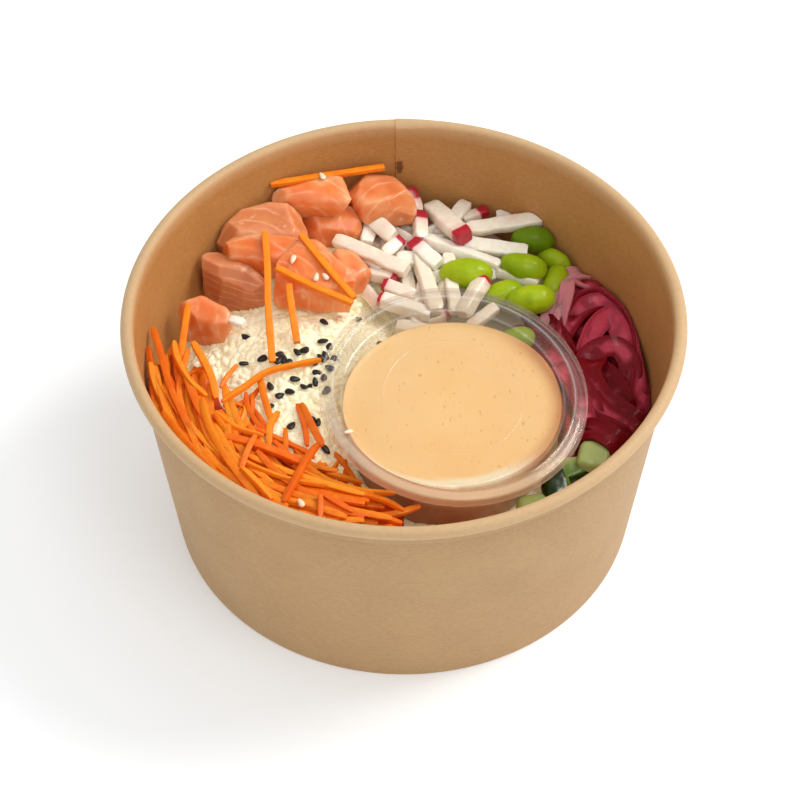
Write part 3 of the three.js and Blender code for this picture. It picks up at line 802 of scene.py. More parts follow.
def rice_shows(x, y):
    """Whether the bed can be seen at a place: not under the cup and the heaps."""
    bearing = math.degrees(math.atan2(y, x))
    far_out = math.hypot(x, y)
    under_cup = math.hypot(x - 12, y + 15) < 26.5
    under_heap = far_out > 47 and (bearing > 178 or bearing < -95 or -17 < bearing < 38)
    return not (under_cup or under_heap or behind_cup(x, y) > 0.5 or far_out > 65)


patch = linked("patch", bed.data.copy())
store(patch, show=[v.normal.z > 0.6 and rice_shows(*(v.co.xy / MM)) for v in patch.data.vertices])
recipe = scattering("scatter_rice", grain, cooked_rice, GRAIN_SPACING, lift=0.3, tilt=0.35, seed=7)
grains = recipe.run(patch, "rice_grains")
move_corners(grains, inside_wall(corners(grains)))
serve(bed, "rice", "rice")
serve(grains, "rice", "rice")
bpy.data.objects.remove(grain)

# %% [markdown]
# ## Strips that follow a path
# Carrot, radish and onion are all cut strips, so one Geometry Nodes tree makes them: it turns chains of edges
# into curves, sweeps a rounded section along them, tapers the ends and roughens the surface. The chains come
# from listed routes, smoothed by a Catmull-Rom curve, and carry a tone, a width, a roll and, for the
# radish, how much red skin is left. A route is written as one line of points, x y z in millimetres.


# %% Routes and chains of edges
def spots(text):
    """Reads points, set apart by commas."""
    return [[float(number) for number in spot.split()] for spot in text.replace("\n", " ").split(",")]


def routes(text):
    """Reads a route of points from each line."""
    return [spots(line) for line in text.strip().split("\n")]


def smooth_route(route, step):
    """Points about step apart on a Catmull-Rom curve through the route's points."""
    route = np.asarray(route, float)
    ends = np.vstack([2 * route[0] - route[1], route, 2 * route[-1] - route[-2]])
    dense = []
    for k in range(len(route) - 1):
        a, b, c, d = ends[k : k + 4]
        for t in np.linspace(0, 1, 16, endpoint=False):
            dense.append(0.5 * (2 * b + (c - a) * t + (2 * a - 5 * b + 4 * c - d) * t**2
                                + (3 * b - a - 3 * c + d) * t**3))
    dense = np.array(dense + [route[-1]])
    run = np.concatenate([[0], np.cumsum(np.linalg.norm(np.diff(dense, axis=0), axis=1))])
    spots = np.linspace(0, run[-1], max(3, round(run[-1] / step) + 1))
    return np.stack([np.interp(spots, run, dense[:, k]) for k in range(3)], axis=1)


def chains(name, strands):
    """One object with a chain of edges for each strand: a dict of its points and of numbers to store."""
    counts = [len(strand["points"]) for strand in strands]
    starts = np.cumsum([0, *counts])
    edges = [(k, k + 1) for start, count in zip(starts, counts) for k in range(start, start + count - 1)]
    piece = new_object(name, np.vstack([strand["points"] for strand in strands]) * MM, [], edges)
    for key in ("tone", "width", "roll", "skin"):
        columns = [np.broadcast_to(strand[key], count) for strand, count in zip(strands, counts)]
        store(piece, **{key: np.concatenate(columns)})
    return piece


def strand(points, tone=0.5, width=1.0, roll=0.0, taper=0.8, skin=0.0):
    """A strand whose ends narrow to taper times its width over their last few points."""
    count = len(points)
    end = np.minimum(np.arange(count), np.arange(count)[::-1]) / 2.0
    narrow = taper + (1 - taper) * np.clip(end, 0, 1) ** 0.6
    return {"points": points, "tone": tone, "width": width * narrow, "roll": roll, "skin": skin}


# %% Sweeping a section along the chains
def sweeping(name, material, width, thickness, rough, grain_size, corner, cup=0.0):
    """Sweeps a rounded section. cup bends its middle up, and rough is how uneven the cut is."""
    sizes = {
        "Width": width * MM, "Thickness": thickness * MM, "Corner": corner * MM, "Cup": cup * MM,
        "Rough": rough * MM, "Grain size": grain_size / MM,
    }
    net = Recipe(name, sizes)
    inputs = net.inputs
    curve = net.add("GeometryNodeMeshToCurve", {"Mesh": inputs["Geometry"]})
    curve = net.add("GeometryNodeSetCurveNormal", {"Curve": curve}, mode="Z_UP")
    curve = net.add("GeometryNodeSetCurveTilt", {"Curve": curve, "Tilt": net.stored("roll")})
    sockets = {"Width": inputs["Width"], "Height": inputs["Thickness"]}
    section = net.add("GeometryNodeCurvePrimitiveQuadrilateral", sockets)
    section = net.add("GeometryNodeSubdivideCurve", {"Curve": section, "Cuts": 1})
    sockets = {"Curve": section, "Radius": inputs["Corner"], "Count": 2, "Limit Radius": True}
    section = net.add("GeometryNodeFilletCurve", sockets, mode="POLY")
    position = net.add("GeometryNodeInputPosition")
    across = net.add("ShaderNodeSeparateXYZ", {0: position}) / inputs["Width"] * 2
    section = net.moved(section, net.vector(0, (1 - across * across) * inputs["Cup"]))
    section = net.storing(section, "across", across, "POINT")
    sockets = {"Curve": curve, "Profile Curve": section, "Scale": net.stored("width"), "Fill Caps": True}
    strips = net.add("GeometryNodeCurveToMesh", sockets)
    sockets = {"Vector": position, "Scale": inputs["Grain size"], "Detail": 2.0}
    jitter = net.add("ShaderNodeTexNoise", sockets, out="Color")
    centred = net.vectors("MULTIPLY_ADD", jitter, (2, 2, 2), (-1, -1, -1))
    reach = net.vector(inputs["Rough"], inputs["Rough"], inputs["Rough"])
    return net.done(net.moved(strips, net.vectors("MULTIPLY", centred, reach)), material)


def swept(name, strands, recipe, sharp=42):
    """The strands as one finished mesh object."""
    piece = recipe.run(chains(name + "_chains", strands), name)
    move_corners(piece, inside_wall(corners(piece)))
    return cleaned(piece, sharp=sharp)


# %% [markdown]
# ## Carrot
# Raw carrot is a bright, slightly translucent orange. Each shred has its own tone, a paler core along its
# length, and fine lines left by the blade. Light that gets into the gaps between shreds comes out redder,
# which the subsurface colour and the dark heart of the heap take care of.


# %% The carrot's finish
def carrot_finish(name, pale, deep):
    glow = (0.3, 1.2, (1.0, 0.35, 0.08))
    carrot = Finish(name, 0.45, (0.06, 0.03), glow, {"Specular IOR Level": 0.25})
    streaks = carrot.noise(0.35, 3.0)
    amount = carrot.painted("tone") * 0.55 + streaks * 0.6 - 0.1
    colour = carrot.blend(carrot.ease(amount, 0.1, 0.8), deep, pale)
    edge = carrot.ease(carrot.maths("ABSOLUTE", carrot.painted("across")), 0.55, 1.05)
    colour = carrot.blend(edge * 0.3, colour, deep)
    return carrot.done(colour, carrot.noise(1.8, 3.0), 0.10)


shredded_carrot = carrot_finish("shredded_carrot", paint(250, 148, 28), paint(227, 98, 5))
carrot_strips = sweeping("sweep_carrot", shredded_carrot, 2.0, 1.5, rough=0.14, grain_size=0.35, corner=0.3)

# %% [markdown]
# The shreds that can be told apart are listed, a line of points in millimetres for each. Many more lie
# below and between them along the wall, drawn by a seeded rule, and a dark heart fills the middle. Shreds
# over the rice are moved until they rest on it. A low tail and finer bits come from dice of their own.

# %% The heap of carrot
CARROT_ROUTES = routes("""
-68 9.5 58, -65.5 1 58, -62.5 -10 57, -58 -21.5 56, -52 -34.5 55
-69 3.5 57, -67 -6.5 57, -63 -16 56, -58.5 -26 55, -54 -32 54
-65 -1 56, -60.5 -12 55.5, -55 -24 55, -51 -30 54
-59 19.5 57, -59.5 10.5 57, -60 3 56, -60 -5 54.5
-62 4 59, -61 -1.5 58.5, -57 -9.5 58, -52.5 -14 57
-57 5.5 57, -54 -0.5 56.5, -51.5 -6.5 56, -50 -13 55
-53.5 -15.5 58, -51.5 -24 58, -48 -32 57, -42.5 -42.5 56
-61.5 5.5 56, -61 -3 56, -59 -12 55, -55 -20.5 55
-58 -3.5 54, -56.5 -2.5 54, -54 -1 54
-58 -8 55, -57 -17 55, -53.5 -27.5 55
-45 -1 55, -47 -5 55.5, -49 -9.5 55.5
-48.5 -15 56, -42.5 -9.5 56, -36 -4 56, -22.5 1 55
-39 -4 54.5, -37.5 -11.5 54.5, -35 -21 54
-39 -10.5 56.5, -42 -16 56, -44.5 -22.5 55.5
-48.5 -15 54.5, -44 -14.5 54.5, -40 -11 55
-50 -18 55.5, -44.5 -23.5 55.5, -37 -26 55
-48 -27 56, -40 -29.5 56, -32.5 -32.5 55.5, -26.5 -35.5 55
-51.5 -26 56.5, -43 -35.5 57, -31 -42 57, -19 -44 56
-47.5 -32.5 55, -39.5 -38 55, -27 -44.5 55, -14 -47 54
-27 -42 55.5, -15.5 -45 55.5, -6 -47.5 55, 0 -50.5 54
-21.5 -47 57, -17 -50.5 57, -13 -53 56.5
-15 -49.5 54, -8.5 -52 54, -0.5 -54 53
-22.5 -29.5 56, -25.5 -36.5 57.5, -28.5 -44.5 58, -31 -50.5 57.5
-21.5 -48.5 58, -21.5 -56 57.5
-15.5 -34.5 55, -15.5 -44.5 55
-17.5 -36.5 56.5, -20.5 -42 56.5
-39 -28 57.5, -41 -34 58, -42.5 -41 58
-35.5 -30.5 56, -35.5 -24 56.5, -33.5 -18.5 56
-31.5 -23.5 55, -31 -31.5 55
-28.5 -15 55, -26.5 -22.5 55.5, -25.5 -30 55.5
-27.5 -14 54, -24 -23.5 55, -21.5 -29.5 55
-47.5 -33.5 57.5, -43 -41 57.5, -37.5 -49 57
-42 -40 58.5, -38 -45 58.5, -34 -50 58
-52.5 -28.5 56, -50 -35.5 55.5, -48.5 -39 55
-50 -24 57, -46 -32.5 57, -41 -41.5 56.5
-37 -44 56, -27 -50.5 56, -15 -54.5 55
-27 -37.5 54.5, -18 -39.5 54.5, -11 -41.5 54
""")
dice = np.random.default_rng(11)


def polar(degrees, radius, height):
    return (radius * math.cos(math.radians(degrees)), radius * math.sin(math.radians(degrees)), height)


def heap_route(start, end, inner, outer, low, high, lengths=(14, 38), gap=1.8, dice=dice):
    """A random shred along the wall, between two bearings. inner is its least radius at each of them."""
    place = dice.uniform(0, 1)
    start, end = start + dice.uniform(0, 8), end - dice.uniform(0, 14)
    radius = dice.uniform(inner[0] + (inner[1] - inner[0]) * min(1, 1.5 * place), outer)
    span = math.degrees(dice.uniform(*lengths) / radius)
    bearing = start + span / 2 + (end - start - span) * place
    drift, height = dice.uniform(-9, 9), dice.uniform(low, high)
    rise, bow = dice.uniform(-1.5, 1.5), dice.uniform(-2.5, 2.5)
    route = [
        polar(bearing + k * span / 2, radius + drift * k * 0.5 + bow * (1 - k * k), height + rise * k)
        for k in (-1, -0.4, 0.4, 1)
    ]
    return inside_wall(route, gap)


def clear_of_cup(points, margin):
    """The longest run of points that stays outside the cup."""
    keep = []
    best = []
    for spot in points:
        keep = keep + [spot] if cup_gap(*spot) > margin else []
        best = max(best, keep, key=len)
    return np.array(best)


def tumbled(routes, step, dice=dice):
    """Strands with a random tone, width and roll for each."""
    strands = []
    for route in routes:
        points = clear_of_cup(smooth_route(route, step), 1.4)
        if len(points) >= 4:
            tone = dice.uniform(0, 1)
            width = dice.uniform(0.8, 1.12) * min(1, 0.5 + step * len(points) / 38)
            strands.append(strand(points, tone, width, dice.uniform(-0.6, 0.6), 0.6))
    return strands


def heart(name, shape, material, **numbers):
    """The hidden middle of a heap: a bar bent round the bowl, with a domed and lumpy top."""
    start, end, inner, outer, low, high = shape
    rows = []
    for a in np.linspace(0, 1, 40):
        near = inner[0] + (inner[1] - inner[0]) * a
        top = []
        for b in np.linspace(0, 1, 10):
            dome = 1 - 0.2 * (2 * a - 1) ** 4 - 0.25 * (2 * a - 1) ** 16 - 0.1 * (2 * b - 1) ** 2
            radius = min(near + (outer - near) * b, wall_radius(low) - SHEET - 0.8)
            spot = Vector(polar(start + (end - start) * a, radius, low + (high - low) * dome))
            spot.z += noise.noise(spot * 0.3) * 1.2
            top.append(spot)
        rows.append(top + [(spot.x, spot.y, low) for spot in top[::-1]])
    piece = cleaned(loft(name, rows, tube=True), material, 60)
    store(piece, **numbers)
    return piece


CARROT_HEART = (176, 270, (52, 40), 70, 30, 51.5)
# The heart is darker carrot: painted shade in the gaps between the shreds.
deep_carrot = carrot_finish("deep_carrot", paint(222, 88, 12), paint(200, 62, 4))
DOWN = Vector((0, 0, -1))


def search_trees(pieces):
    depsgraph = bpy.context.evaluated_depsgraph_get()
    return [BVHTree.FromObject(piece, depsgraph) for piece in pieces]


def landing(trees, x, y):
    """The highest place, and its normal, where something dropped on the pieces lands."""
    hits = [tree.ray_cast(Vector((x, y, 90)) * MM, DOWN)[:2] for tree in trees]
    return max((hit for hit in hits if hit[0]), key=lambda hit: hit[0].z, default=(Vector(), DOWN))


LEAN_BACK = 0.85  # how far back a shred goes for each millimetre down
rice_trees = search_trees([bed, grains])


def laid_down(route):
    """A shred's route, moved down and back until it rests on the rice. Shreds far out rest on others."""
    spots = smooth_route(route, 1.0)
    gap = min(z - landing(rice_trees, x, y)[0].z / MM - 0.8 for x, y, z in spots)
    if gap < 0 or np.hypot(spots[:, 0], spots[:, 1]).mean() > 47:
        return route
    return np.array(route) + gap * np.array((0, LEAN_BACK, -1))


laid = tumbled([laid_down(route) for route in CARROT_ROUTES], 1.2)
deep = [heap_route(171, 280, (56, 44), 67, 50.5, 53.5, (22, 56)) for _ in range(95)]
upper = [heap_route(175, 274, (60, 48), 68, 53.5, 56.5, (26, 60)) for _ in range(62)]
laid += tumbled(deep + upper, 1.6)
own_dice = np.random.default_rng(4)
tail = [heap_route(254, 296, (54, 54), 66, 38, 45.5, (16, 36), dice=own_dice) for _ in range(44)]
fine = [heap_route(188, 268, (43, 38), 51, 51.5, 54, (7, 20), dice=own_dice) for _ in range(30)]
fine = tumbled([laid_down(route) for route in fine], 1.0, own_dice)
for shred in fine:
    shred["width"] *= 0.75
shreds = swept("carrot_heap", laid + tumbled(tail, 1.6, own_dice) + fine, carrot_strips)
serve(shreds, "carrot", "carrot_shreds")
serve(heart("carrot_heart", CARROT_HEART, deep_carrot), "carrot", "carrot_shreds")

# %% [markdown]
# Five loose strips lie on the fish and against the back wall. Each is a CAD node of its own, so each becomes
# an object of its own.

# %% Loose strips of carrot
LOOSE_ROUTES = routes("""
-37.5 59.5 63.5, -5.5 68 62
-38.5 42 62, -37.5 29.5 60, -37 17.5 57, -35.5 1 54
-28.5 41 62, -20.5 29 60.8, -13.5 19.5 59.3
-35 30 60.3, -25.5 24 59.8, -14 18 59
-31.5 25 58.9, -31 20.5 57.5, -29 8 54
""")
for number, route in enumerate(LOOSE_ROUTES, 1):
    points = smooth_route(route, 1.0)
    strip = swept(f"carrot_strip_{number}", [strand(points, 0.75, taper=0.9)], carrot_strips)
    serve(strip, "carrot", f"carrot_{number}")

# %% [markdown]
# ## Radish
# Radish sticks are cut across the root, so they are white with a crimson skin left at one end or the other.
# The strands store how much skin shows at each point, and the finish turns that into colour with a blush.


# %% The radish's finish
def radish_finish():
    radish = Finish("radish", 0.34, (0.35, 0.18), (0.4, 2, (1.0, 0.75, 0.65)))
    skin = radish.painted("skin")
    tone = radish.painted("tone")
    veins = radish.noise(0.55, 3.0, (1.0, 1.0, 0.6))
    mottled = radish.ease(veins + tone * 0.5, 0.3, 1.1)
    rosy = radish.ease(radish.noise(0.11, 1.0), 0.52, 0.7)
    # Past a tone of 1.2 the flesh darkens to a pinkish brown: painted shade, for the heart between the sticks.
    flesh = radish.layered(
        radish.blend(mottled, paint(255, 248, 232), paint(240, 225, 202)),
        (radish.ease(skin, 0.02, 0.5) * 0.35, paint(240, 150, 160)), (rosy * 0.3, paint(238, 184, 180)),
        (radish.ease(tone, 1.2, 1.9), paint(212, 172, 150)),
    )
    red = radish.blend(veins, paint(196, 22, 48), paint(160, 14, 36))
    colour = radish.blend(radish.ease(skin, 0.5, 0.66), flesh, red)
    return radish.done(colour, radish.noise(0.9, 3.0), 0.12)


# %% The heap of radish sticks
RADISH_ROUTES = routes("""
-19.5 50.5 50.5, 1 38.5 50.3, 1.15 0 0
-11.5 59.5 52, -3 50.5 51.5, 1.25 0 0
-9.5 58.5 49.5, -10.5 50 49.5, 1.1 0 0
1.7 68 53.5, 4 62 50, 1 3.2 0
4.5 61.5 50.5, 5 52 49, 1.05 2.6 0
2 49.5 50.5, 10 41 50, 1.2 2.6 0
7.5 65 49.5, 17.6 49.6 52, 1.42 0 2.6
18 65.5 50, 12.5 56.5 49, 1.2 0 0
17 60 48.5, 24 63.5 49.5, 1 0 2.6
26.5 62 48.5, 32 62.5 48.5, 0.8 0 0
18 54.5 50.5, 39.5 58.5 51, 1.15 0 0
17.5 51 48.5, 35 47.5 48, 1.1 0 0
6 52.5 48.5, 27 42.5 48, 1.2 0 0
22.5 36.5 49.5, 16 24 48, 1.15 1.3 0
4 45.5 49, 9 24.5 48.5, 1.15 0 0
-6 34.5 49, 3 30.5 48.5, 1 1.2 0
-7 29.5 48.5, 7.5 24 48, 1.1 0.9 0
-5.5 46.5 49, -0.5 52 49, 1 0 1.6
12.5 46.5 48, 14.5 25 47.5, 1 0 0
-2 45 48.5, 7.5 43.5 48.5, 1.1 0 0
-47.5 17.5 53, -43.5 15.5 53.5, 0.65 0 0
-9 55.5 49.5, -4.5 57 49, 0.75 2.4 2.4
-8 47.5 48.5, -4 43 48.5, 0.8 2.2 0
-12 46 48, -6 40.5 48.5, 0.95 0 0
-10 40 48, -2 37 48, 1 0 1.2
18 22 45, 26 29 45.5, 1 0 0
-2 21.5 46, 8 19.5 45.5, 1.05 0 0
5 24 44.5, 13 27 45, 0.95 0 1.3
11 20.5 44, 20 17.5 44.5, 0.95 1.4 0
27 24.5 38.5, 34.5 16 38, 0.9 0 0
24.5 43.5 46, 38 38 45.5, 1 0 0
""")  # the last three are the width and the millimetres of skin at the start and the end


def skinned(points, start, end):
    """1 at the cut ends that keep their skin, falling to 0 at the given distances from them."""
    run = np.concatenate([[0], np.cumsum(np.linalg.norm(np.diff(points, axis=0), axis=1))])
    left = np.clip(1.15 - run / (2 * start), 0, 1) if start else 0 * run
    right = np.clip(1.15 - (run[-1] - run) / (2 * end), 0, 1) if end else 0 * run
    return np.maximum(left, right)


radish_white = radish_finish()
radish_strips = sweeping("sweep_radish", radish_white, 4.0, 3.3, rough=0.6, grain_size=0.14, corner=0.5)
sticks = []
for *route, (width, start, end) in RADISH_ROUTES:
    points = smooth_route(route, 0.8)
    uneven = width * np.linspace(dice.uniform(0.85, 1.05), dice.uniform(0.85, 1.05), len(points))
    skin = skinned(points, start, end)
    sticks.append(strand(points, dice.uniform(0, 1), uneven, dice.uniform(-0.5, 0.5), 0.78, skin))
for _ in range(22):
    bearing = dice.uniform(64, 108)
    middle = np.array(polar(bearing, dice.uniform(29, 60), dice.uniform(44.5, 46.5)))
    heading = dice.uniform(0, math.pi)
    half = dice.uniform(6, 10) * np.array((math.cos(heading), math.sin(heading), dice.uniform(-0.1, 0.1)))
    points = smooth_route(inside_wall([middle - half, middle + half], 3.5), 0.8)
    sticks.append(strand(points, dice.uniform(0, 1), 0.95, dice.uniform(-1, 1), 0.8))
serve(swept("radish_heap", sticks, radish_strips, 50), "radish", "radish_sticks")
RADISH_HEART = (62, 108, (41, 41), 66, 30, 45)
IN_SHADE = 2.0  # a tone past 1.9, which the finish darkens
serve(heart("radish_heart", RADISH_HEART, radish_white, tone=IN_SHADE), "radish", "radish_sticks")

# %% [markdown]
# ## Pickled onion
# Pickling turns red onion into translucent crimson ribbons. Each is a slice of a curved layer, so its section
# is bowed, its middle is paler than its edges, and a wet film gives it sharp highlights.


# %% The onion's finish
def onion_finish(name, deep, pale):
    onion = Finish(name, 0.28, (0.2, 0.06), (0.5, 2, (1.0, 0.2, 0.25)), {"Specular IOR Level": 0.12})
    across = onion.painted("across")
    tone = onion.painted("tone")
    middle = 1 - onion.ease(onion.maths("ABSOLUTE", across), 0.2, 0.85)
    cells = onion.noise(2.2)
    patches = onion.ease(onion.noise(0.14), 0.4, 0.62)
    amount = middle * patches * 0.7 + tone * 0.75 + (cells - 0.5) * 0.35
    colour = onion.blend(onion.ease(amount, 0.05, 1.25), deep, pale)
    washed_out = onion.ease(tone, 1.2, 1.9) * (0.75 + 0.25 * cells)
    colour = onion.blend(washed_out, colour, paint(214, 164, 164))
    ribs = onion.maths("SINE", across * 10)
    return onion.done(colour, cells * 1.4 + ribs * 0.25 + onion.noise(0.5) * 1.2, 0.13)


# %% The heap of onion
ONION_ROUTES = routes("""
49.5 43.5 44.5, 44.5 40.5 45.5, 42.5 34.5 44.5, 41 28 43, 1.7 0.85 0.2
50.5 38.5 45, 46.5 38 47, 45.5 33 46.5, 44 28 44, 1.6 0.7 0.6
44 30.5 43.5, 47.5 36 44.5, 54.5 38 45, 61 33.5 44.5, 65 27 43.5, 66.5 18 42, 66 9.5 41, 64 -2.5 40, 0.5 1 -0.5
47 27.5 42.5, 52 32 44, 57.5 31.5 44, 61 26 43.5, 62.5 19.5 42.5, 63.5 11.5 42, 64 5 41, 0.75 0.8 0.5
45 23 42.5, 49 29.5 43, 55 34 43, 0.2 0.9 0
51 17 42.5, 53 22 44, 57 27 43.5, 60 23 43, 61 18 42, 0.9 0.9 0.6
50 11 43, 53.5 14 44.5, 58.5 15.5 44, 61.5 12.5 43, 62.5 7.5 42, 0.3 0.95 0.4
52 10.5 44, 50.5 4 45, 53 -3.5 45, 57 -7 44, 61.5 -10.5 43, -0.25 1.15 0.2
50 -1 44, 53 -7.5 45, 59.5 -13.5 44.5, 61.5 -15.5 43.5, 0 0.9 0.1
46.5 -10 44, 52 -13 45, 58 -16.5 44.5, -0.4 1 0
46 -15 43, 51 -16 46, 56 -19.5 46, -0.45 1 0.2
53 9 42.5, 57 4.5 42.5, 59.5 -1.5 42, -0.2 1 0.3
""")  # the last three are the tone, the width and the roll


def round_cup(start, end, away, height):
    """A route round the cup between two bearings from its middle."""
    turns = np.radians(np.linspace(start, end, 5))
    return [(CUP_AT.x + away * math.cos(t), CUP_AT.y + away * math.sin(t), height) for t in turns]


def tucked(route):
    """The route with both its ends turned down into the heap."""
    ends = []
    for tip, inner in ((route[0], route[1]), (route[-1], route[-2])):
        onwards = (Vector(tip) - Vector(inner)).normalized() * 3.5
        ends.append((tip[0] + onwards.x, tip[1] + onwards.y, tip[2] - 3.5))
    return [ends[0], *route, ends[1]]


pickled_onion = onion_finish("pickled_onion", paint(124, 0, 18), paint(224, 84, 108))
onion_strips = sweeping(
    "sweep_onion", pickled_onion, 6.8, 1.8, rough=0.3, grain_size=0.12, corner=0.6, cup=1.2
)
ribbons = []
BY_THE_CUP = (  # bearings, how far from its middle, height, and then tone, width and roll
    (-1, 32, 32.4, 45, 0.3, 0.95, 0.3), (4, 36, 35.5, 46.5, 0.5, 0.9, 0.1), (2, 44, 31.8, 42, 0.2, 1.0, 0.5),
    (-3, 14, 34.5, 43, 0.1, 1.0, -0.2), (-11, 10, 31.5, 41, 0.0, 1.0, 0.4), (10, 47, 38, 45, 0.2, 1.0, 0.0),
)
ribbon_routes = ONION_ROUTES + [[*round_cup(*row[:4]), row[4:]] for row in BY_THE_CUP]
for *route, (tone, width, roll) in ribbon_routes:
    points = clear_of_cup(smooth_route(tucked(route), 0.9), 0.8)
    ribbons.append(strand(points, tone, width, roll, 0.55))
for _ in range(26):
    route = heap_route(-19, 52, (44, 40), 62, 38, 41.5, gap=4.0)
    points = clear_of_cup(smooth_route(route, 1.1), 1.0)
    if len(points) > 5:
        tone, width, roll = [dice.uniform(*ends) for ends in ((-0.1, 0.35), (0.8, 1.1), (-0.9, 0.9))]
        ribbons.append(strand(points, tone, width, roll, 0.5))
serve(swept("onion_ribbons", ribbons, onion_strips, 60), "onion", "pickled_onion")
ONION_HEART = (-19, 42, (46, 39), 66, 28, 39)
# The heart is much darker onion: painted shade in the gaps between the ribbons.
deep_onion = onion_finish("deep_onion", paint(74, 2, 14), paint(96, 8, 24))
serve(heart("onion_heart", ONION_HEART, deep_onion), "onion", "pickled_onion")

# %% [markdown]
# ## Softened solids
# Fish, beans and cucumber keep the form of their CAD solids. A copy of each is merged, remeshed into even
# small faces and smoothed, which rounds its cut edges, and then gets gentle lumps of its own.


# %% Softening a solid
SOFTENING = {  # piece's name, size of its faces, passes of smoothing, swelling, lumps and their size
    "salmon": ("salmon_piece", 0.45, 3, 0.8, 0.65, 6.5),
    "edamame": ("bean", 0.4, 26, 0.35, 0.12, 5.0),
    "cucumber": ("cucumber_chunk", 0.4, 10, 0.4, 0.35, 5.0),
}


def softened(kind, number):
    """A piece of food with the form of its CAD solid, its vertices in millimetres and its middle."""
    name, voxel, passes, swell, lumps, lump_size = SOFTENING[kind]
    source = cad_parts[f"{kind}_{number}"].data
    copy = new_object("copy", [v.co for v in source.vertices], [f.vertices for f in source.polygons])
    remesh = cleaned(copy).modifiers.new("remesh", "REMESH")
    remesh.mode = "VOXEL"
    remesh.voxel_size = voxel * MM
    smooth = copy.modifiers.new("smooth", "SMOOTH")
    smooth.factor = 0.5
    smooth.iterations = passes
    piece = settled(copy, f"{name}_{number}")
    points = corners(piece)
    places = [Vector(p) / lump_size for p in points]
    drift = np.array([noise.noise(place) + 0.4 * noise.noise(place * 2.7) for place in places])
    points = inside_wall(points + of_vertices(piece, "normal") * (swell + drift * lumps)[:, None])
    move_corners(piece, points)
    return piece, points, points.mean(axis=0)


def convex(piece, passes, full):
    """How far each vertex stands out from a smoothed copy of the piece, as a share of full millimetres."""
    pairs = np.empty(len(piece.data.edges) * 2, int)
    piece.data.edges.foreach_get("vertices", pairs)
    a, b = pairs.reshape(-1, 2).T
    points = corners(piece)
    share = 1 / np.bincount(pairs, minlength=len(points))[:, None]
    flatter = points.copy()
    for _ in range(passes):
        total = np.zeros_like(flatter)
        np.add.at(total, a, flatter[b])
        np.add.at(total, b, flatter[a])
        flatter = total * share
    return np.clip(((points - flatter) * of_vertices(piece, "normal")).sum(axis=1) / full, 0, 1)


# %% [markdown]
# ## Salmon
# A fillet is built of curved muscle sheets with thin white fat between them, so a cube of it shows pale lines
# a few millimetres apart that bend together. Each piece stores its own coordinate across the sheets, and the
# finish draws a line wherever that number passes a whole one. A few random planes shave each piece, because a
# knife leaves flat facets.


# %% The salmon's finish
def salmon_finish():
    salmon = Finish("raw_salmon", 0.42, (0.4, 0.16), (0.6, 3, (1.0, 0.5, 0.3)))
    sheets = salmon.painted("sheets") + salmon.noise(0.1) * 0.9
    ridge = salmon.maths("ABSOLUTE", salmon.maths("FRACT", sheets) - 0.5) * 2
    fat = ridge**8 * salmon.ease(salmon.noise(0.25), 0.25, 0.6)
    broad = salmon.ease(salmon.noise(0.11, 3.0), 0.38, 0.64)
    # sheen lays pale patches on the flesh: a painted highlight.
    sheen = salmon.ease(salmon.noise(0.2, 4.0, (1, 1, 0.6)), 0.58, 0.74)
    # edge pales the convex edges: painted light coming through the thin flesh there.
    flesh = salmon.layered(
        salmon.blend(broad, paint(236, 118, 40), paint(243, 156, 86)),
        (salmon.painted("tone"), paint(196, 122, 80)), (fat * 0.6, paint(250, 198, 156)),
        (salmon.painted("edge") * 0.35, paint(248, 178, 132)), (sheen * 0.6, paint(253, 214, 180)),
    )
    fibres = salmon.noise(0.9, 3.0)
    return salmon.done(flesh, fibres * 0.6 + salmon.noise(0.3, 1.0) * 0.7 - fat * 0.3, 0.18)


# %% The pieces of salmon
SALMON = (  # direction across the sheets, their spacing, how they curve, how grey the piece is, its stretch
    ((0.3, 1, 0.5), 4.6, 0.010, 0.05, (1.24, 1.18, 1.02)),
    ((-0.7, 1, 0.2), 4.8, 0.012, 0.3, (1.12, 1.12, 1.02)),
    ((1, 0.3, 0.2), 6.0, 0.0, 0.2, (1.14, 1.06, 1)),
    ((0.2, 1, 0.8), 4.4, 0.006, 0.05, (1.1, 1.06, 1.02)),
    ((0.3, 1, -0.3), 5.0, 0.008, 0.6, (1.26, 1.16, 1.02)),
    ((1, 0.5, 0.1), 4.6, 0.012, 0.0, (1.03, 1.08, 1.02)),
    ((0.1, 0.2, 1), 2.6, 0.002, 0.75, (1.06, 1.12, 1.12)),
    ((1, 0.6, 0.3), 5.0, 0.0, 0.15, (1, 1, 1)),
    ((1, -0.2, 0.2), 4.6, 0.010, 0.1, (1, 1, 1)),
)
FACETS = 7  # planes that shave each piece
raw_salmon = salmon_finish()
draw = np.random.default_rng(21)
fish = []
for number, (across, spacing, curve, grey, stretch) in enumerate(SALMON, 1):
    piece, points, centre = softened("salmon", number)
    points = inside_wall(centre + (points - centre) * stretch)
    for _ in range(FACETS):
        tilt = draw.normal(size=3) + (0, -0.4, 0.5)
        tilt /= np.linalg.norm(tilt)
        reach = (points - centre) @ tilt
        points = points - np.clip(reach - draw.uniform(0.76, 0.92) * reach.max(), 0, None)[:, None] * tilt
    move_corners(piece, points)
    direction = np.array(Vector(across).normalized())
    along = (points - centre) @ direction
    aside = np.linalg.norm(points - centre, axis=1) ** 2 - along**2
    sheets = along / spacing + aside * curve + 0.37 * number
    # edge stores how far each vertex stands out, which the finish pales as painted light.
    store(piece, sheets=sheets, tone=grey, edge=convex(piece, passes=14, full=0.45))
    cleaned(piece, raw_salmon)
    fish.append(serve(piece, "salmon", f"salmon_{number}"))

# %% [markdown]
# ## Edamame
# A shelled soybean is plump and glossy, with a thin skin that wrinkles faintly along its length and a seam
# where it sat in the pod. The colour runs from lime to a darker green.


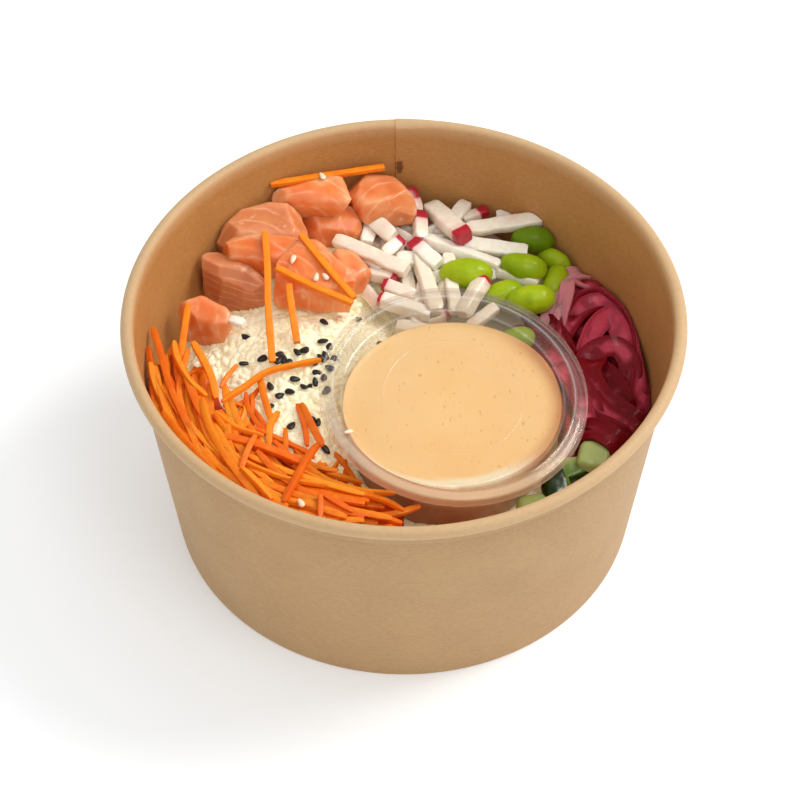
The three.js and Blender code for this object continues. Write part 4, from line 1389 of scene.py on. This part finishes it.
# %% The beans
def bean_finish():
    bean = Finish("edamame", 0.3, (0.1, 0.12), (0.3, 2, (0.6, 1.0, 0.15)), {"Specular IOR Level": 0.2})
    shade = bean.ease(bean.noise(0.12), 0.3, 0.7)
    seam = bean.painted("seam")
    colour = bean.layered(
        bean.blend(shade, paint(140, 168, 6), paint(172, 192, 24)),
        (bean.painted("tone"), paint(84, 120, 2)), (seam * 0.5, paint(196, 212, 96)),
    )
    return bean.done(colour, bean.noise(0.8, 2.0, (1.0, 0.35, 0.35)) - seam * 0.5, 0.12)


BEANS = (  # how dark it is, and how it is moved
    (0.8, (0, 0, 0)), (0.12, (0, 0, 0)), (0.0, (0, 0, 0)), (0.0, (-1.8, 0, 0.3)), (0.1, (-1.4, 2.4, 0.8)),
    (0.0, (0, 0, 0)), (0.05, (2.6, 1.0, 2.0)),
)
bean_green = bean_finish()
for number, (tone, shift) in enumerate(BEANS, 1):
    piece, points, centre = softened("edamame", number)
    axis = np.linalg.svd(points - centre, full_matrices=False)[2]
    side = (points - centre) @ axis[1]
    seam = np.clip(1 - np.abs((points - centre) @ axis[2]) / 0.5, 0, 1) * (side > 0.5 * np.abs(side).max())
    store(piece, seam=seam, tone=tone)
    move_corners(piece, points + shift)
    serve(cleaned(piece, bean_green), "edamame", f"edamame_{number}")

# %% [markdown]
# Three more beans lie under the flange of the lid and are seen through the plastic. They are made by the same
# rule as the grain, on a larger scale.

# %% Beans below the lid
LOW_BEAN = (12, 8, 7)
LOW_BEANS = (((31, 19.5, 42), 0.4), ((37.5, 9, 41), 1.3), ((21, 14.5, 41), 2.6))  # place and turn
for number, (spot, turn) in enumerate(LOW_BEANS, 1):
    bean = spindle(f"low_bean_{number}", *LOW_BEAN, blunt=2.4, sides=24, rings=20)
    bean.data.transform(Matrix.Translation(Vector(spot) * MM) @ Matrix.Rotation(turn, 4, "Z"))
    store(bean, tone=0.3)
    bean.data.materials.append(bean_green)
    serve(bean, "edamame")

# %% [markdown]
# ## Cucumber
# Four chunks show by the right-hand wall. Each keeps dark peel on one side of a plane through it, and the
# pale flesh gets greener towards the peel.


# %% The cucumber chunks
def cucumber_finish():
    cucumber = Finish("cucumber", 0.3, (0.4, 0.15), (0.35, 2, (0.8, 1.0, 0.5)))
    depth = cucumber.painted("depth")
    patch = cucumber.noise(0.4)
    greener = cucumber.ease(depth + patch * 2, -4.0, 2.2)
    flesh = cucumber.blend(greener, paint(182, 197, 118), paint(106, 142, 40))
    peel = cucumber.blend(patch, paint(14, 40, 4), paint(36, 70, 12))
    colour = cucumber.blend(cucumber.ease(depth, 1.1, 1.6), flesh, peel)
    return cucumber.done(colour, patch + cucumber.noise(1.1) * 0.5, 0.15)


PEEL = (  # direction of the peel, how far out from the middle it starts, how the chunk is moved, its stretch
    ((0.3, -0.2, -1), 3.2, (0.2, -4.0, 0), 1.05),
    ((0.4, -1, -0.3), 1.4, (-5.6, 1.4, 0), 1.0),
    ((-1, -0.3, 0.1), -2.2, (-2.5, -0.5, 0), 1.15),
    ((1, -0.5, -0.4), 1.6, (-2, -1.8, 1.6), 1.28),
)
fresh_cucumber = cucumber_finish()
for number, (direction, start, shift, stretch) in enumerate(PEEL, 1):
    piece, points, centre = softened("cucumber", number)
    points = centre + (points - centre) * stretch
    outward = (points - centre) @ np.array(Vector(direction).normalized())
    move_corners(piece, inside_wall(points + shift))
    store(piece, depth=outward - start + 1.3)
    serve(cleaned(piece, fresh_cucumber), "cucumber", f"cucumber_{number}")

# %% [markdown]
# ## Sesame
# Black sesame is strewn over the rice and white sesame over the fish, carrot and lid. A seed is a flat
# teardrop. Each is dropped straight down at its place until it meets a surface, and laid along it.


# %% The seeds
def seed_finish(name, dark, light):
    seed = Finish(name, 0.38, (0.2, 0.3))
    return seed.done(seed.blend(seed.noise(1.3), dark, light), seed.noise(3.0), 0.05)


def strewn(name, places, carriers, shape, material, draw):
    """Flat seeds, pointed at one end, dropped on the carriers and merged into one object."""
    trees = search_trees(carriers)
    seed = spindle(name + "_seed", *shape, blunt=2.2, sides=10, rings=8)
    blank = corners(seed)
    blank[:, 1] *= 1 - 0.36 * (blank[:, 0] / shape[0] * 2).clip(-1, 1)
    faces = [tuple(face.vertices) for face in seed.data.polygons]
    bpy.data.objects.remove(seed)
    vertices = []
    for x, y in places:
        spot, normal = landing(trees, x, y)
        normal = (normal + Vector((0, 0, 1.2))).normalized()
        lie = normal.to_track_quat("Z", "Y").to_matrix().to_4x4()
        for limits, axis in (((0, math.tau), "Z"), ((-0.25, 0.25), "X")):
            lie = lie @ Matrix.Rotation(draw.uniform(*limits), 4, axis)
        matrix = np.array(Matrix.Translation(spot / MM + normal * shape[2] * 0.6) @ lie)
        vertices += list((blank * draw.uniform(0.9, 1.08)) @ matrix[:3, :3].T + matrix[:3, 3])
    starts = range(0, len(vertices), len(blank))
    faces = [[start + k for k in face] for start in starts for face in faces]
    return cleaned(new_object(name, np.array(vertices) * MM, faces), material)


BLACK_SESAME = spots("""
-43.5 15, -43.5 4, -38.5 4, -34 5, -33 4, -34 2, -32.5 2, -31.5 2, -29 5.5, -27 6.5, -22 10, -20.5 8.5,
-22.5 4.5, -21.5 5.5, -24 2, -23.5 -1.5, -29.5 -3.5, -30.5 -8, -33.5 -9, -36 -5.5, -36 -13, -41.5 -21,
-30 -20, -21 -25.5, -27 -6, -25.5 -5.5, -24 -4.5, -24.5 -17, -23 -17.5, -22 17.5, -20 0.5, -21.5 -3.5,
-21 -7, -18.5 4, -12.5 24, -6 14.5
""")
BLACK_SEED = (3.1, 1.9, 1.1)  # length, width and thickness
black_sesame = seed_finish("black_sesame", paint(14, 11, 9), paint(44, 38, 32))
draw = np.random.default_rng(3)
seeds = strewn("black_sesame", BLACK_SESAME, [bed, grains], BLACK_SEED, black_sesame, draw)
serve(seeds, "rice", "rice")

WHITE_SESAME = spots("""
-30.5 33, -24 27, -21.5 27, -33.5 21.5, -17.5 22, -23 62.5, -26.5 -51, -14.5 -31
""")
WHITE_SEED = (3.0, 1.6, 1.0)
white_sesame = seed_finish("white_sesame", paint(236, 214, 178), paint(250, 238, 214))
carriers = fish + [shreds, lid, grains]
draw = np.random.default_rng(5)
seeds = strewn("white_sesame", WHITE_SESAME, carriers, WHITE_SEED, white_sesame, draw)
serve(seeds, "rice")
